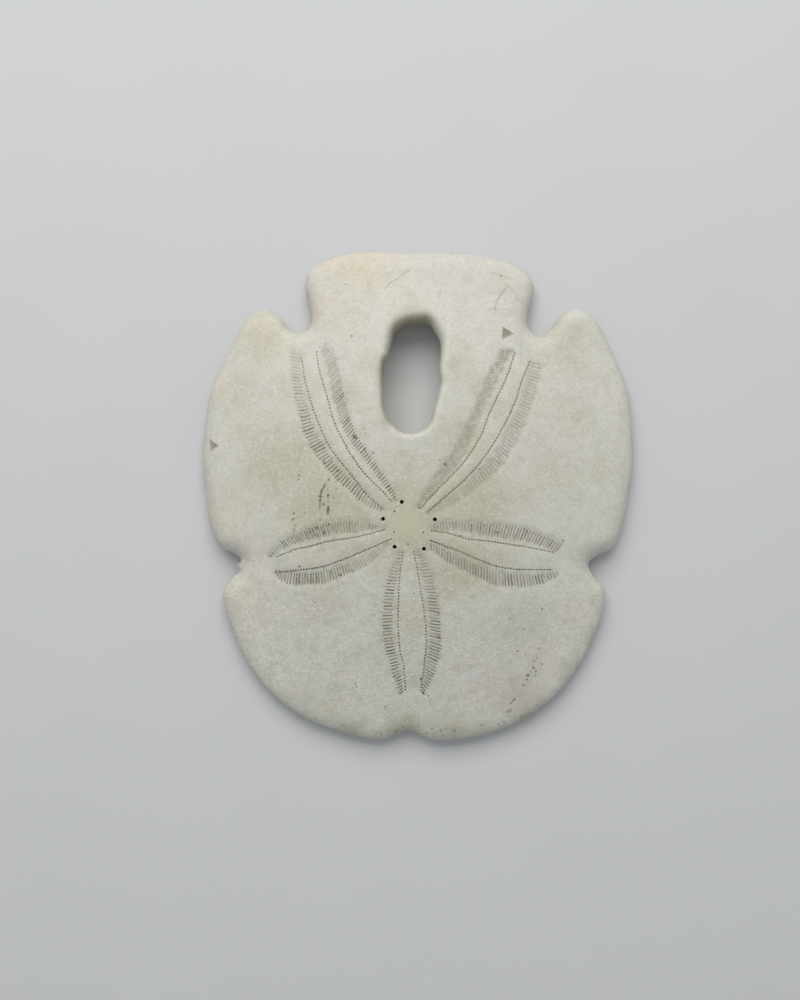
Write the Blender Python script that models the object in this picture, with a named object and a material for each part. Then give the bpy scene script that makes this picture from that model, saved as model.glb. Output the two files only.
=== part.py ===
"""Keyhole sand dollar: the dry, bleached shell of a sea urchin, lying flat with its petals up.

The shell grew as one piece, so it is one closed solid. Its rear is +Y, its right side is +X,
and it rests on the flat rim of its underside at z = 0, with the origin under the middle of its box.
The outline has five open notches, and one large oval keyhole goes right through behind the apex.
"""

import math

import bmesh
import bpy
import numpy as np
from mathutils import Vector
from mathutils.geometry import delaunay_2d_cdt

NAME = "sand_dollar"
MM = 0.001

# Heights above the resting face, in millimetres. The keyhole is narrowest a drop below its lip.
APEX_HEIGHT = 13.6
MARGIN_HEIGHT = 4.8
WIDEST_LEVEL = 2.3
KEYHOLE_DROP = 2.0
KEYHOLE_REAR_DROP = 1.8
HOLLOW_RISE = 0.5

# Plan sizes, in millimetres.
APEX = (-1.0, 2.0)
DOME_HALF_WIDTH = 40.5
DOME_FRONT_REACH = 47.0
DOME_REAR_REACH = 44.0
DOME_FULLNESS = 1.35
EDGE_ROUND_ABOVE = 3.4
EDGE_ROUND_BELOW = 2.2
KEYHOLE_ROUND_ABOVE = 1.0
KEYHOLE_REAR_SLOPE = 1.3
KEYHOLE_ROUND_BELOW = 1.3
LIP_RISE = 0.9
LIP_WIDTH = 4.6
FLAT_RIM = 8.5
HOLLOW_SLOPE = 10.0

# The mouth and the anus open on the underside: centre, radius and depth, in millimetres.
PITS = (
    ((-1.6, -6.0), 2.2, 1.6),
    ((-1.2, 8.2), 1.2, 1.0),
)

# How far apart the points of the surface lie, in millimetres. Distances are measured to fine curves.
FINE_STEP = 0.3
EDGE_STEP = 1.8
KEYHOLE_STEP = 1.0
FACE_STEP = 3.0

# Points along the edge, clockwise seen from above, in millimetres.
REAR_LOBE = [
    (-20.2, 41.2), (-17.7, 43.0), (-13.4, 44.4), (-8.4, 45.0), (-1.4, 44.7), (5.0, 44.7),
    (11.5, 44.2), (16.6, 43.0), (20.0, 41.2), (21.3, 39.1), (21.0, 36.3), (20.3, 33.6),
]
RIGHT_REAR_NOTCH = [(20.4, 30.8), (22.2, 29.4), (24.1, 30.4), (26.6, 33.4)]
RIGHT_FLANK = [
    (29.7, 34.5), (32.5, 32.6), (35.7, 26.6), (38.5, 19.7), (39.4, 12.2), (39.6, 6.3),
    (38.8, 0.6), (37.7, -5.3), (35.8, -9.6),
]
RIGHT_SIDE_NOTCH = [(32.9, -11.0), (31.4, -12.5), (32.5, -14.9), (34.4, -17.0)]
RIGHT_FRONT_LOBE = [
    (34.1, -21.5), (32.5, -25.6), (31.0, -29.0), (26.3, -35.7), (20.2, -40.6), (12.4, -43.8),
    (5.4, -45.0), (2.6, -44.8), (0.9, -44.2),
]
FRONT_NOTCH = [(-0.5, -43.4), (-1.8, -43.1), (-3.3, -43.5)]
LEFT_FRONT_LOBE = [
    (-5.3, -44.4), (-8.1, -44.7), (-14.3, -43.3), (-21.6, -40.4), (-28.2, -35.0), (-32.3, -29.0),
    (-35.2, -21.6), (-35.9, -17.9), (-34.5, -15.4),
]
LEFT_SIDE_NOTCH = [(-32.6, -13.6), (-32.9, -11.4), (-36.1, -9.5)]
LEFT_FLANK = [
    (-37.9, -6.3), (-39.1, 1.3), (-39.6, 7.0), (-38.8, 15.5), (-37.8, 20.5), (-34.3, 27.8),
    (-31.3, 32.6), (-28.4, 34.3), (-25.4, 32.8),
]
LEFT_REAR_NOTCH = [(-23.4, 30.5), (-21.4, 29.9), (-19.8, 31.2), (-19.9, 34.9), (-20.7, 38.4)]
EDGE = (
    REAR_LOBE + RIGHT_REAR_NOTCH + RIGHT_FLANK + RIGHT_SIDE_NOTCH + RIGHT_FRONT_LOBE
    + FRONT_NOTCH + LEFT_FRONT_LOBE + LEFT_SIDE_NOTCH + LEFT_FLANK + LEFT_REAR_NOTCH
)

# The keyhole where it is narrowest, just below its lip.
KEYHOLE = [
    (-0.6, 31.3), (-2.3, 31.0), (-4.1, 29.7), (-4.9, 27.4), (-5.4, 25.3), (-6.3, 23.7),
    (-6.5, 21.4), (-6.3, 17.7), (-6.1, 15.2), (-5.1, 13.2), (-4.0, 11.9), (-2.9, 11.2),
    (-1.6, 11.0), (-0.1, 11.2), (1.2, 11.9), (2.1, 13.0), (2.8, 15.7), (3.6, 18.5), (3.9, 20.2),
    (3.7, 22.4), (4.0, 25.4), (3.9, 27.9), (2.9, 30.0), (2.0, 31.2),
]

SHELL_COLOUR = (0.60, 0.58, 0.50, 1.0)
SHELL_ROUGHNESS = 0.88


def clear_scene():
    """Remove what a new file holds."""
    for item in list(bpy.data.objects):
        bpy.data.objects.remove(item)


def smooth_loop(points, step):
    """A closed smooth curve through the points, as points about one step apart."""
    knots = np.array(points, dtype=float)
    count = len(knots)
    fine = []
    for i in range(count):
        p0, p1, p2, p3 = (knots[(i + k) % count] for k in (-1, 0, 1, 2))
        t1 = math.sqrt(np.linalg.norm(p1 - p0))
        t2 = t1 + math.sqrt(np.linalg.norm(p2 - p1))
        t3 = t2 + math.sqrt(np.linalg.norm(p3 - p2))
        for t in np.linspace(t1, t2, 24, endpoint=False):
            a1 = p0 + (p1 - p0) * t / t1
            a2 = p1 + (p2 - p1) * (t - t1) / (t2 - t1)
            a3 = p2 + (p3 - p2) * (t - t2) / (t3 - t2)
            b1 = a1 + (a2 - a1) * t / t2
            b2 = a2 + (a3 - a2) * (t - t1) / (t3 - t1)
            fine.append(b1 + (b2 - b1) * (t - t1) / (t2 - t1))
    return spread_evenly(np.array(fine), step)


def spread_evenly(loop, step):
    """The same closed curve with points one step apart."""
    closed = np.vstack([loop, loop[:1]])
    run = np.concatenate([[0.0], np.cumsum(np.linalg.norm(np.diff(closed, axis=0), axis=1))])
    marks = np.linspace(0.0, run[-1], round(run[-1] / step), endpoint=False)
    return np.column_stack([np.interp(marks, run, closed[:, k]) for k in (0, 1)])


def distance_to(loop, points):
    """How far each point lies from a closed curve."""
    start = loop
    along = np.roll(loop, -1, axis=0) - start
    away = points[:, None, :] - start[None, :, :]
    share = np.clip((away * along).sum(axis=2) / (along * along).sum(axis=1), 0.0, 1.0)
    gap = away - share[:, :, None] * along
    return np.sqrt((gap * gap).sum(axis=2).min(axis=1))


def is_inside(loop, points):
    """Whether each point lies inside a closed curve."""
    x, y = points[:, :1], points[:, 1:]
    x1, y1 = loop[:, 0], loop[:, 1]
    x2, y2 = np.roll(x1, -1), np.roll(y1, -1)
    spans = (y1 > y) != (y2 > y)
    level = np.where(y1 == y2, 1.0, y2 - y1)
    crossings = spans & (x < x1 + (y - y1) * (x2 - x1) / level)
    return crossings.sum(axis=1) % 2 == 1


def smooth_step(low, high, value):
    """Zero below low, one above high, and an even slope between them."""
    share = np.clip((value - low) / (high - low), 0.0, 1.0)
    return share * share * (3.0 - 2.0 * share)


def quarter_round(share):
    """The height of a quarter ellipse, from 0 at its foot to 1 where it levels out."""
    return np.sqrt(1.0 - (1.0 - np.clip(share, 0.0, 1.0)) ** 2)


def dome_height(points, to_keyhole):
    """The low dome with its raised lip about the keyhole, before any rounding."""
    across = (points[:, 0] - APEX[0]) / DOME_HALF_WIDTH
    ahead = points[:, 1] - APEX[1]
    along = np.where(ahead > 0.0, ahead / DOME_REAR_REACH, ahead / DOME_FRONT_REACH)
    fall = np.clip(1.0 - across**2 - along**2, 0.0, 1.0)
    height = MARGIN_HEIGHT + (APEX_HEIGHT - MARGIN_HEIGHT) * fall**DOME_FULLNESS
    return height + LIP_RISE * np.exp(-((to_keyhole / LIP_WIDTH) ** 2))


def keyhole_drop(points):
    """How far the keyhole's narrowest line lies below its lip: further at the rear."""
    return KEYHOLE_DROP + KEYHOLE_REAR_DROP * smooth_step(22.0, 31.0, points[:, 1])


def keyhole_level(points):
    """The height of the keyhole's narrowest line near these points."""
    return dome_height(points, np.zeros(len(points))) - keyhole_drop(points)


def top_height(points, edge, keyhole):
    """The upper surface: a low dome with a round edge and a rounded keyhole."""
    to_edge = distance_to(edge, points)
    to_keyhole = distance_to(keyhole, points)
    height = dome_height(points, to_keyhole)
    rear_share = smooth_step(22.0, 31.0, points[:, 1])
    keyhole_round = KEYHOLE_ROUND_ABOVE + KEYHOLE_REAR_SLOPE * rear_share
    height -= keyhole_drop(points) * (1.0 - quarter_round(to_keyhole / keyhole_round))
    return WIDEST_LEVEL + (height - WIDEST_LEVEL) * quarter_round(to_edge / EDGE_ROUND_ABOVE)


def bottom_height(points, edge, keyhole):
    """The underside: a flat rim to rest on, a slight hollow within it, the mouth and the anus."""
    to_edge = distance_to(edge, points)
    to_keyhole = distance_to(keyhole, points)
    height = HOLLOW_RISE * smooth_step(FLAT_RIM, FLAT_RIM + HOLLOW_SLOPE, to_edge)
    for centre, radius, depth in PITS:
        near = np.hypot(points[:, 0] - centre[0], points[:, 1] - centre[1])
        height += depth * (1.0 - smooth_step(0.35 * radius, radius, near))
    height += keyhole_level(points) * (1.0 - quarter_round(to_keyhole / KEYHOLE_ROUND_BELOW))
    return height + WIDEST_LEVEL * (1.0 - quarter_round(to_edge / EDGE_ROUND_BELOW))


def rings_into_shell(loop, curve, offsets):
    """Copies of a loop moved into the shell, without the points where they would fold.

    The edge runs clockwise and the keyhole runs the other way, so the shell is on the right of both.
    """
    along = np.roll(loop, -1, axis=0) - np.roll(loop, 1, axis=0)
    along /= np.linalg.norm(along, axis=1)[:, None]
    rightwards = np.column_stack([along[:, 1], -along[:, 0]])
    rings = []
    for offset in offsets:
        ring = loop + rightwards * offset
        rings.append(ring[distance_to(curve, ring) > 0.95 * offset])
    return np.vstack(rings)


def face_points(edge, keyhole, edge_clear, keyhole_clear):
    """An even triangular grid that keeps clear of the edge, the keyhole and the pits."""
    row_step = FACE_STEP * math.sqrt(0.75)
    low = edge.min(axis=0)
    high = edge.max(axis=0)
    points = []
    for row in range(int((high[1] - low[1]) / row_step) + 1):
        y = low[1] + row * row_step
        x = low[0] + (row % 2) * FACE_STEP / 2.0
        while x < high[0]:
            points.append((x, y))
            x += FACE_STEP
    points = np.array(points)
    keep = is_inside(edge, points) & ~is_inside(keyhole, points)
    keep &= distance_to(edge, points) > edge_clear
    keep &= distance_to(keyhole, points) > keyhole_clear
    return points[keep]


def pit_points():
    """The middle of each pit and three rings about it."""
    points = []
    for centre, radius, _depth in PITS:
        points.append(centre)
        for share, count in ((0.35, 6), (0.7, 10), (1.0, 12)):
            for k in range(count):
                turn = math.tau * k / count
                x = centre[0] + share * radius * math.cos(turn)
                y = centre[1] + share * radius * math.sin(turn)
                points.append((x, y))
    return np.array(points)


def clear_of_pits(points):
    """The points that lie outside every pit and its outer ring."""
    keep = np.ones(len(points), dtype=bool)
    for centre, radius, _depth in PITS:
        keep &= np.hypot(points[:, 0] - centre[0], points[:, 1] - centre[1]) > radius + 1.2
    return points[keep]


def triangulate(edge, keyhole, inner):
    """Triangles that fill the outline but not the keyhole; the two curves come first."""
    points = np.vstack([edge, keyhole, inner])
    bounds = []
    start = 0
    for loop in (edge, keyhole):
        count = len(loop)
        bounds += [(start + k, start + (k + 1) % count) for k in range(count)]
        start += count
    plan = [Vector(point) for point in points]
    _plan, _lines, faces, _a, _b, _c = delaunay_2d_cdt(plan, bounds, [], 0, 1e-5)
    faces = np.array(faces)
    middle = points[faces].mean(axis=1)
    keep = is_inside(edge, middle) & ~is_inside(keyhole, middle)
    return points, faces[keep]


def build_shell():
    """Upper and lower sheets that share the edge and the keyhole, as one closed mesh."""
    edge_curve = smooth_loop(EDGE, FINE_STEP)
    keyhole_curve = smooth_loop(KEYHOLE, FINE_STEP)
    edge = spread_evenly(edge_curve, EDGE_STEP)
    keyhole = spread_evenly(keyhole_curve, KEYHOLE_STEP)
    shared = len(edge) + len(keyhole)

    above = np.vstack([
        rings_into_shell(edge, edge_curve, (0.25, 0.75, 1.6, 2.8, 4.5)),
        rings_into_shell(keyhole, keyhole_curve, (0.12, 0.45, 1.0, 1.8, 2.8, 4.2)),
        face_points(edge, keyhole, 7.4, 6.2),
    ])
    below = np.vstack([
        rings_into_shell(edge, edge_curve, (0.25, 0.8, 1.6, 2.7, 4.8)),
        rings_into_shell(keyhole, keyhole_curve, (0.2, 0.7, 1.6)),
        clear_of_pits(face_points(edge, keyhole, 6.8, 3.4)),
        pit_points(),
    ])
    top, top_faces = triangulate(edge, keyhole, above)
    bottom, bottom_faces = triangulate(edge, keyhole, below)

    level = np.concatenate([
        np.full(len(edge), WIDEST_LEVEL),
        keyhole_level(keyhole),
    ])
    top_z = np.concatenate([level, top_height(top[shared:], edge_curve, keyhole_curve)])
    bottom_z = bottom_height(bottom[shared:], edge_curve, keyhole_curve)

    mesh_builder = bmesh.new()
    upper = [mesh_builder.verts.new((x * MM, y * MM, z * MM)) for (x, y), z in zip(top, top_z)]
    lower = upper[:shared]
    for (x, y), z in zip(bottom[shared:], bottom_z):
        lower.append(mesh_builder.verts.new((x * MM, y * MM, z * MM)))
    for a, b, c in top_faces:
        mesh_builder.faces.new((upper[a], upper[b], upper[c]))
    for a, b, c in bottom_faces:
        mesh_builder.faces.new((lower[c], lower[b], lower[a]))
    mesh = bpy.data.meshes.new(NAME)
    mesh_builder.to_mesh(mesh)
    mesh_builder.free()
    mesh.shade_smooth()
    return mesh


def shell_material():
    """Matt, cream-grey, chalky."""
    material = bpy.data.materials.new("bleached_shell")
    material.use_nodes = True
    surface = material.node_tree.nodes["Principled BSDF"]
    surface.inputs["Base Color"].default_value = SHELL_COLOUR
    surface.inputs["Roughness"].default_value = SHELL_ROUGHNESS
    surface.inputs["Metallic"].default_value = 0.0
    return material


def main():
    clear_scene()
    shell = bpy.data.objects.new(NAME, build_shell())
    shell.data.materials.append(shell_material())
    bpy.context.collection.objects.link(shell)


main()
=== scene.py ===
"""Keyhole sand dollar: a dry, bleached shell with petal-shaped pore rows, lying flat on a pale floor.

The shell's rear is +Y and its right side is +X. Plan sizes and heights are in millimetres in the lists,
and everything that Blender gets is in metres.
"""

import math

import bmesh
import bpy
import numpy as np
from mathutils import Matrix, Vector
from mathutils.geometry import delaunay_2d_cdt
from mathutils.kdtree import KDTree


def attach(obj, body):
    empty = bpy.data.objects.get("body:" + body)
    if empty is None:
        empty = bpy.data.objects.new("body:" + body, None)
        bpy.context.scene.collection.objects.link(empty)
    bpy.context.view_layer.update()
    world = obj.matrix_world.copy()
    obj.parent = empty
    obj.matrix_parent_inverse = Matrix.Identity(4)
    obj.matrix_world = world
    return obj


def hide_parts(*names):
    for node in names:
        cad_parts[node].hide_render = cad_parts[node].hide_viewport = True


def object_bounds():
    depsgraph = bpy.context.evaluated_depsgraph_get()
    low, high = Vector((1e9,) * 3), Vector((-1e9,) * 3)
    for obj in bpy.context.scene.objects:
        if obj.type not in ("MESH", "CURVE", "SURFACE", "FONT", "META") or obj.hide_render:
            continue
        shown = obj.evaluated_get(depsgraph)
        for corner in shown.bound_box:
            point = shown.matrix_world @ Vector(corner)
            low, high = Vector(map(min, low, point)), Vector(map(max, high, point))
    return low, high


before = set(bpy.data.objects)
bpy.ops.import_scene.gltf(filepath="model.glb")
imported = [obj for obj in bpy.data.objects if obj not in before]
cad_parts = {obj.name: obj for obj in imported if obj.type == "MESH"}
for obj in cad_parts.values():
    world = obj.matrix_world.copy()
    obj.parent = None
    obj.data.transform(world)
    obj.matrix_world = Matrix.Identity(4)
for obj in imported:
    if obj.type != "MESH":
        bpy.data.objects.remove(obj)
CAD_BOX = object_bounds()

bl_info = {
    "name": "Keyhole sand dollar",
    "version": (1, 0, 0),
    "blender": (4, 5, 0),
    "location": "3D View > Sidebar > Sand dollar",
    "description": "Builds the bleached shell of a keyhole sand dollar with its pores, and its stage",
    "category": "Object",
}

NODE = "sand_dollar"
SHELL = "bleached_test"
MM = 0.001

# Heights as in the CAD model. The keyhole is narrowest a drop below its lip.
WIDEST_LEVEL = 2.3
KEYHOLE_DROP = 2.0
KEYHOLE_REAR_DROP = 1.8
HOLLOW_RISE = 0.5

# The dome and the rounding of its edges, as in the CAD model.
APEX = (-1.0, 2.0)
DOME_HALF_WIDTH = 40.5
DOME_FRONT_REACH = 47.0
DOME_REAR_REACH = 44.0
DOME_FULLNESS = 1.35
EDGE_ROUND_ABOVE = 3.4
EDGE_ROUND_BELOW = 2.2
KEYHOLE_ROUND_ABOVE = 1.0
KEYHOLE_REAR_SLOPE = 1.3
KEYHOLE_ROUND_BELOW = 1.3
FLAT_RIM = 8.5
HOLLOW_SLOPE = 10.0

# The keyhole's rear end drops further. The change lies between these two places along +Y.
KEYHOLE_REAR = (22.0, 31.0)

# The mouth and the anus open on the underside: centre, radius and depth.
MOUTH = ((-1.6, -6.0), 2.2, 1.6)
ANUS = ((-1.2, 8.2), 1.2, 1.0)

# Food grooves lead from the mouth towards these places at the notches.
GROOVE_TARGETS = [(-1.1, -43.1), (-32.8, -12.5), (31.6, -12.5), (-21.6, 30.0), (22.2, 29.6)]

# How far the valleys and the chips' walls reach, and how deep specks, cracks and the deepest holes are.
VALLEY_REACH = 3.2
CHIP_WALL = 0.3
SPECK_DEPTH = 0.06
CRACK_DEPTH = 0.09
GENITAL_DEPTH = 1.5

# The tiny ocular pores: radius of the floor, radius of the rim and depth.
OCULAR_SIZE = (0.08, 0.17, 0.4)

# How slits vary, each as the least and the most share of a slit: where it starts, its length, its depth.
SLIT_START = (-0.14, 0.03)
SLIT_LENGTH = (0.9, 1.1)
SLIT_DEEP = (0.35, 1.0)

# The seed of the first row's random numbers, and how far the next row's seed is from it.
FIRST_SEED = 11
SEED_STEP = 100

# The stained band about the slits, in metres from them: where it starts to fade and where it ends.
BAND_FADE = (0.00026, 0.00085)

# How far apart the points of the surface lie.
FINE_STEP = 0.3
EDGE_STEP = 0.42
KEYHOLE_STEP = 0.34
FACE_STEP = 0.8
NEAR_STEP = 0.4
UNDER_STEP = 1.3

# Rings of points about the edge and the keyhole: their distances, and on the upper edge angles in degrees.
UPPER_EDGE_TURNS = (11.0, 22.0, 33.0, 44.0, 55.0, 66.0, 78.0)
UPPER_KEYHOLE_RINGS = (0.03, 0.1, 0.21, 0.36, 0.55, 0.78, 1.05, 1.35, 1.7, 2.1, 2.55, 3.05)
LOWER_EDGE_RINGS = (0.05, 0.18, 0.4, 0.7, 1.1, 1.6, 2.2)
LOWER_KEYHOLE_RINGS = (0.05, 0.17, 0.36, 0.62, 0.95, 1.3)

# A round hole with a wider rim than this gets more rings of points than the others.
WIDE_RIM = 0.3

# Points that lie closer together than this are one, and how far other points keep from the round pores
# (dots) and from the wide holes. The finer grid reaches this far from the detail.
FIRST_TWIN_GAP = 0.04
TWIN_GAP = 0.05
SLIT_FROM_DOT = 0.27
THIN_FROM_DOT = 0.26
SLIT_FROM_HOLE = 0.68
SMALL_FROM_HOLE = 0.75
NEAR_REACH = 1.1

# Lines of points beside a groove, beside a thin crack and beside a chip's side, and rings in a well.
GROOVE_SIDES = (-0.9, -0.5, -0.25, 0.0, 0.25, 0.5, 0.9)
THIN_SIDES = (-0.17, -0.09, 0.0, 0.09, 0.17)
CHIP_SIDES = (-0.12, 0.0, 0.12, 0.3)
WELL_RINGS = (0.15, 0.3, 0.45, 0.6, 0.75, 0.9, 1.05, 1.25)

# Each slit's guide is a line with this many points, so that its dirt can fade along it, and the middle of
# a petal has this many.
STICK_POINTS = 5
PETAL_POINTS = 40

# The underside's guides lie this far below those of the upper side, so that neither carves the other.
UNDER_GUIDE = -50.0

# The camera looks straight down. One pixel of the photo at the level of the shell's widest outline.
PIXEL = 0.18443
PHOTO_MIDDLE = (400.0, 500.0)
CAMERA_SPOT = (-3.28, -0.74)
CAMERA_RISE = 230.0
PHOTO_TALL = 1000.0
SENSOR_WIDTH = 36.0

# The stage in metres: half the floor's width, and the large soft light's size, place and colour.
FLOOR_REACH = 4.0
KEY_SIZE = (0.46, 0.35)
KEY_PLACE = (-0.047, 0.3375, 0.405)
KEY_COLOUR = (1.0, 0.985, 0.95)
FILL_COLOUR = (0.93, 0.96, 1.0, 1.0)

# Points along the edge, clockwise seen from above, in millimetres.
REAR_LOBE = [
    (-20.2, 41.2), (-17.7, 43.0), (-13.4, 44.4), (-8.4, 45.0), (-1.4, 44.7), (5.0, 44.7),
    (11.5, 44.2), (16.6, 43.0), (20.0, 41.2), (21.3, 39.1), (21.0, 36.3), (20.3, 33.6),
]
RIGHT_REAR_NOTCH = [(20.4, 30.8), (22.2, 29.4), (24.1, 30.4), (26.6, 33.4)]
RIGHT_FLANK = [
    (29.7, 34.5), (32.5, 32.6), (35.7, 26.6), (38.5, 19.7), (39.4, 12.2), (39.6, 6.3),
    (38.8, 0.6), (37.7, -5.3), (35.8, -9.6),
]
RIGHT_SIDE_NOTCH = [(32.9, -11.0), (31.4, -12.5), (32.5, -14.9), (34.4, -17.0)]
RIGHT_FRONT_LOBE = [
    (34.1, -21.5), (32.5, -25.6), (31.0, -29.0), (26.3, -35.7), (20.2, -40.6), (12.4, -43.8),
    (5.4, -45.0), (2.6, -44.8), (0.9, -44.2),
]
FRONT_NOTCH = [(-0.5, -43.4), (-1.8, -43.1), (-3.3, -43.5)]
LEFT_FRONT_LOBE = [
    (-5.3, -44.4), (-8.1, -44.7), (-14.3, -43.3), (-21.6, -40.4), (-28.2, -35.0), (-32.3, -29.0),
    (-35.2, -21.6), (-35.9, -17.9), (-34.5, -15.4),
]
LEFT_SIDE_NOTCH = [
    (-33.3, -14.3), (-32.8, -13.6), (-33.1, -13.2), (-33.4, -12.7), (-33.1, -12.3), (-32.6, -12.1),
    (-32.6, -11.6), (-33.2, -11.0), (-34.1, -10.4), (-36.1, -9.5),
]
LEFT_FLANK = [
    (-37.9, -6.3), (-39.1, 1.3), (-39.6, 7.0), (-38.8, 15.5), (-37.8, 20.5), (-34.3, 27.8),
    (-31.3, 32.6), (-28.4, 34.3), (-25.4, 32.8),
]
LEFT_REAR_NOTCH = [(-23.4, 30.5), (-21.4, 29.9), (-19.8, 31.2), (-19.9, 34.9), (-20.7, 38.4)]
EDGE = (
    REAR_LOBE + RIGHT_REAR_NOTCH + RIGHT_FLANK + RIGHT_SIDE_NOTCH + RIGHT_FRONT_LOBE
    + FRONT_NOTCH + LEFT_FRONT_LOBE + LEFT_SIDE_NOTCH + LEFT_FLANK + LEFT_REAR_NOTCH
)

# The keyhole where it is narrowest, just below its lip.
KEYHOLE = [
    (-0.6, 31.3), (-2.3, 31.0), (-4.1, 29.7), (-4.9, 27.4), (-5.4, 25.3), (-6.3, 23.7),
    (-6.5, 21.4), (-6.3, 17.7), (-6.1, 15.2), (-5.1, 13.2), (-4.0, 11.9), (-2.9, 11.2),
    (-1.6, 11.0), (-0.1, 11.2), (1.2, 11.9), (2.1, 13.0), (2.8, 15.7), (3.6, 18.5), (3.9, 20.2),
    (3.7, 22.4), (4.0, 25.4), (3.9, 27.9), (2.9, 30.0), (2.0, 31.2),
]

# Each petal has two rows of pores. A row has a line of round pores on its inner side, and slits that run
# outwards. The lines are read from the photo in pixels, from the middle of the shell to the petal's tip:
# the round pores, the slits' inner ends and the slits' outer ends.
REAR_LEFT_OUTER = (
    [(383, 509.5), (366, 494), (350, 473.5), (331, 449), (317, 420), (306, 385), (301, 358)],
    [(381, 507.5), (370, 497.5), (356, 485.5), (341.8, 471.5), (331, 459), (322.4, 445), (314, 430),
     (308, 413), (302, 392), (299.5, 372), (301, 356)],
    [(381, 511.5), (366, 504.5), (350, 491.5), (334.5, 477), (321, 460.5), (312, 448), (303.5, 430),
     (298, 409), (293, 382), (291.5, 362), (292, 353)],
)
REAR_LEFT_INNER = (
    [(391.5, 501.5), (382, 491), (363, 472), (347, 448), (334, 421), (326, 393), (319.5, 371), (316.5, 352)],
    [(395.5, 501), (384, 485), (369, 464.5), (352, 442), (341, 421), (334, 398), (330, 378), (326, 362),
     (322, 352)],
    [(397, 499.5), (388.5, 483), (374.5, 464), (363.5, 446), (353.5, 428), (347.5, 411), (342, 390),
     (339, 372), (334, 355), (326, 345)],
)
REAR_RIGHT_INNER = (
    [(421, 508), (438, 489.5), (460, 467), (480, 437.5), (489, 415), (498, 395.5), (508, 374), (515, 353)],
    [(420.5, 505), (429.5, 495.5), (438, 483.5), (453, 467), (464.5, 449), (473.5, 427.5),
     (480, 411.5), (488.5, 394), (497, 376.5), (504.5, 361), (511.5, 352)],
    [(419, 506), (425, 495), (432, 483.8), (442, 470), (452.5, 457), (463, 438), (471.5, 420),
     (479, 403), (485.5, 386), (494, 368), (503, 351)],
)
REAR_RIGHT_OUTER = (
    [(428, 512), (444, 498), (460, 484.5), (476, 468), (492, 446.5), (506, 422), (516, 400), (523, 378),
     (530, 362)],
    [(431, 511.5), (447, 502), (461, 492.5), (477, 477), (492, 460), (503, 442), (511, 426.5),
     (520, 410), (525.5, 394), (529, 378), (532, 363)],
    [(430, 513.5), (450, 505), (468.5, 493.5), (487, 478), (502.5, 461.5), (515, 441.5), (524, 423.5),
     (530.5, 404), (536, 386), (538.5, 376), (541, 365)],
)
LEFT_REAR = (
    [(385, 529.5), (370, 534), (353, 538), (330, 541.2), (312, 546), (293, 550.5), (276, 557.5)],
    [(383, 528.2), (370, 529), (352, 532), (335, 532.3), (322, 536), (305, 539.5), (291, 544.5), (279, 551),
     (272, 556)],
    [(384, 527.5), (366, 523.5), (345, 522.5), (328, 524.5), (311, 528), (297, 534.5), (284, 540.5),
     (276, 547.5), (269, 554.5)],
)
LEFT_FRONT = (
    [(391, 539), (378, 545), (360, 553), (340, 561), (320, 567.5), (303, 570), (280, 572.5)],
    [(386, 545), (378, 551), (362, 560.5), (345, 566.5), (328, 571), (310, 574), (296, 574),
     (285, 573), (276, 571)],
    [(388.5, 545), (377, 556.5), (362, 567.5), (346, 574.5), (329, 581), (308, 584), (292, 584),
     (282, 580.5), (275, 574.5)],
)
RIGHT_REAR = (
    [(432, 531), (446, 533), (468, 539), (495, 542.2), (523, 546.5), (553, 552.5)],
    [(432.5, 529.5), (450, 529), (470, 531), (490, 535), (511, 538), (530, 541.5), (545, 546.5), (556, 552)],
    [(431, 528), (445, 523), (465, 523.8), (488, 523.3), (510, 526.5), (530, 530), (548, 538.5), (561, 546)],
)
RIGHT_FRONT = (
    [(431, 541), (447, 547), (462, 552.5), (480, 560.5), (495, 566), (517, 569.5), (551, 569.7)],
    [(431, 544), (446, 551.5), (463, 560), (480, 567), (497, 572), (520, 576), (540, 575.5), (556, 572)],
    [(431.5, 549), (446, 560), (464, 569.5), (482, 579.5), (499, 585.5), (520, 585.8), (540, 584),
     (558, 576)],
)
FRONT_LEFT = (
    [(403, 552.5), (400.3, 572), (398.6, 597), (398, 622), (400, 650), (404.5, 672), (405.5, 690)],
    [(401.5, 553), (396.5, 575), (392.5, 600), (391.2, 625), (393, 645), (397.5, 665), (401, 680),
     (402.5, 692)],
    [(400, 553), (391, 570), (385.5, 592), (383, 615), (384, 640), (389.5, 662), (397, 683), (401, 694)],
)
FRONT_RIGHT = (
    [(414, 552), (417, 568), (421, 592), (425, 618), (426.4, 641), (424.5, 664), (421.3, 688)],
    [(417, 552.5), (422.5, 571), (427, 592), (430.5, 612), (431.5, 635), (429.5, 657), (425.5, 677),
     (422, 691)],
    [(419, 552.5), (428.5, 566), (434, 588), (439, 610), (441, 632), (438.5, 657), (432, 678), (424, 695)],
)

# How dark the dirt and painted shade of each row's pores are: five or six shares from the disc to the tip,
# how dark the thin line that joins the round pores is, and how strongly the whole band is stained.
REAR_LEFT_OUTER_DIRT_AND_SHADE = ((0.6, 1.1, 1.35, 1.05, 0.55, 0.3), 0.4, 0.25)
REAR_LEFT_INNER_DIRT_AND_SHADE = ((1.0, 1.3, 1.2, 0.95, 0.7, 0.5), 0.4, 0.25)
REAR_RIGHT_INNER_DIRT_AND_SHADE = ((0.25, 0.14, 0.06, 0.08, 0.12, 0.3), 0.85, 1.0)
REAR_RIGHT_OUTER_DIRT_AND_SHADE = ((0.1, 0.25, 0.5, 0.4, 0.22, 0.35), 0.85, 0.6)
LEFT_REAR_DIRT_AND_SHADE = ((0.6, 0.6, 0.85, 1.15, 0.9, 0.7), 0.45, 0.35)
LEFT_FRONT_DIRT_AND_SHADE = ((0.25, 0.5, 1.0, 1.1, 1.3, 1.2), 0.65, 0.35)
RIGHT_REAR_DIRT_AND_SHADE = ((0.75, 0.5, 0.85, 0.9, 0.95, 0.85), 0.5, 0.5)
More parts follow.
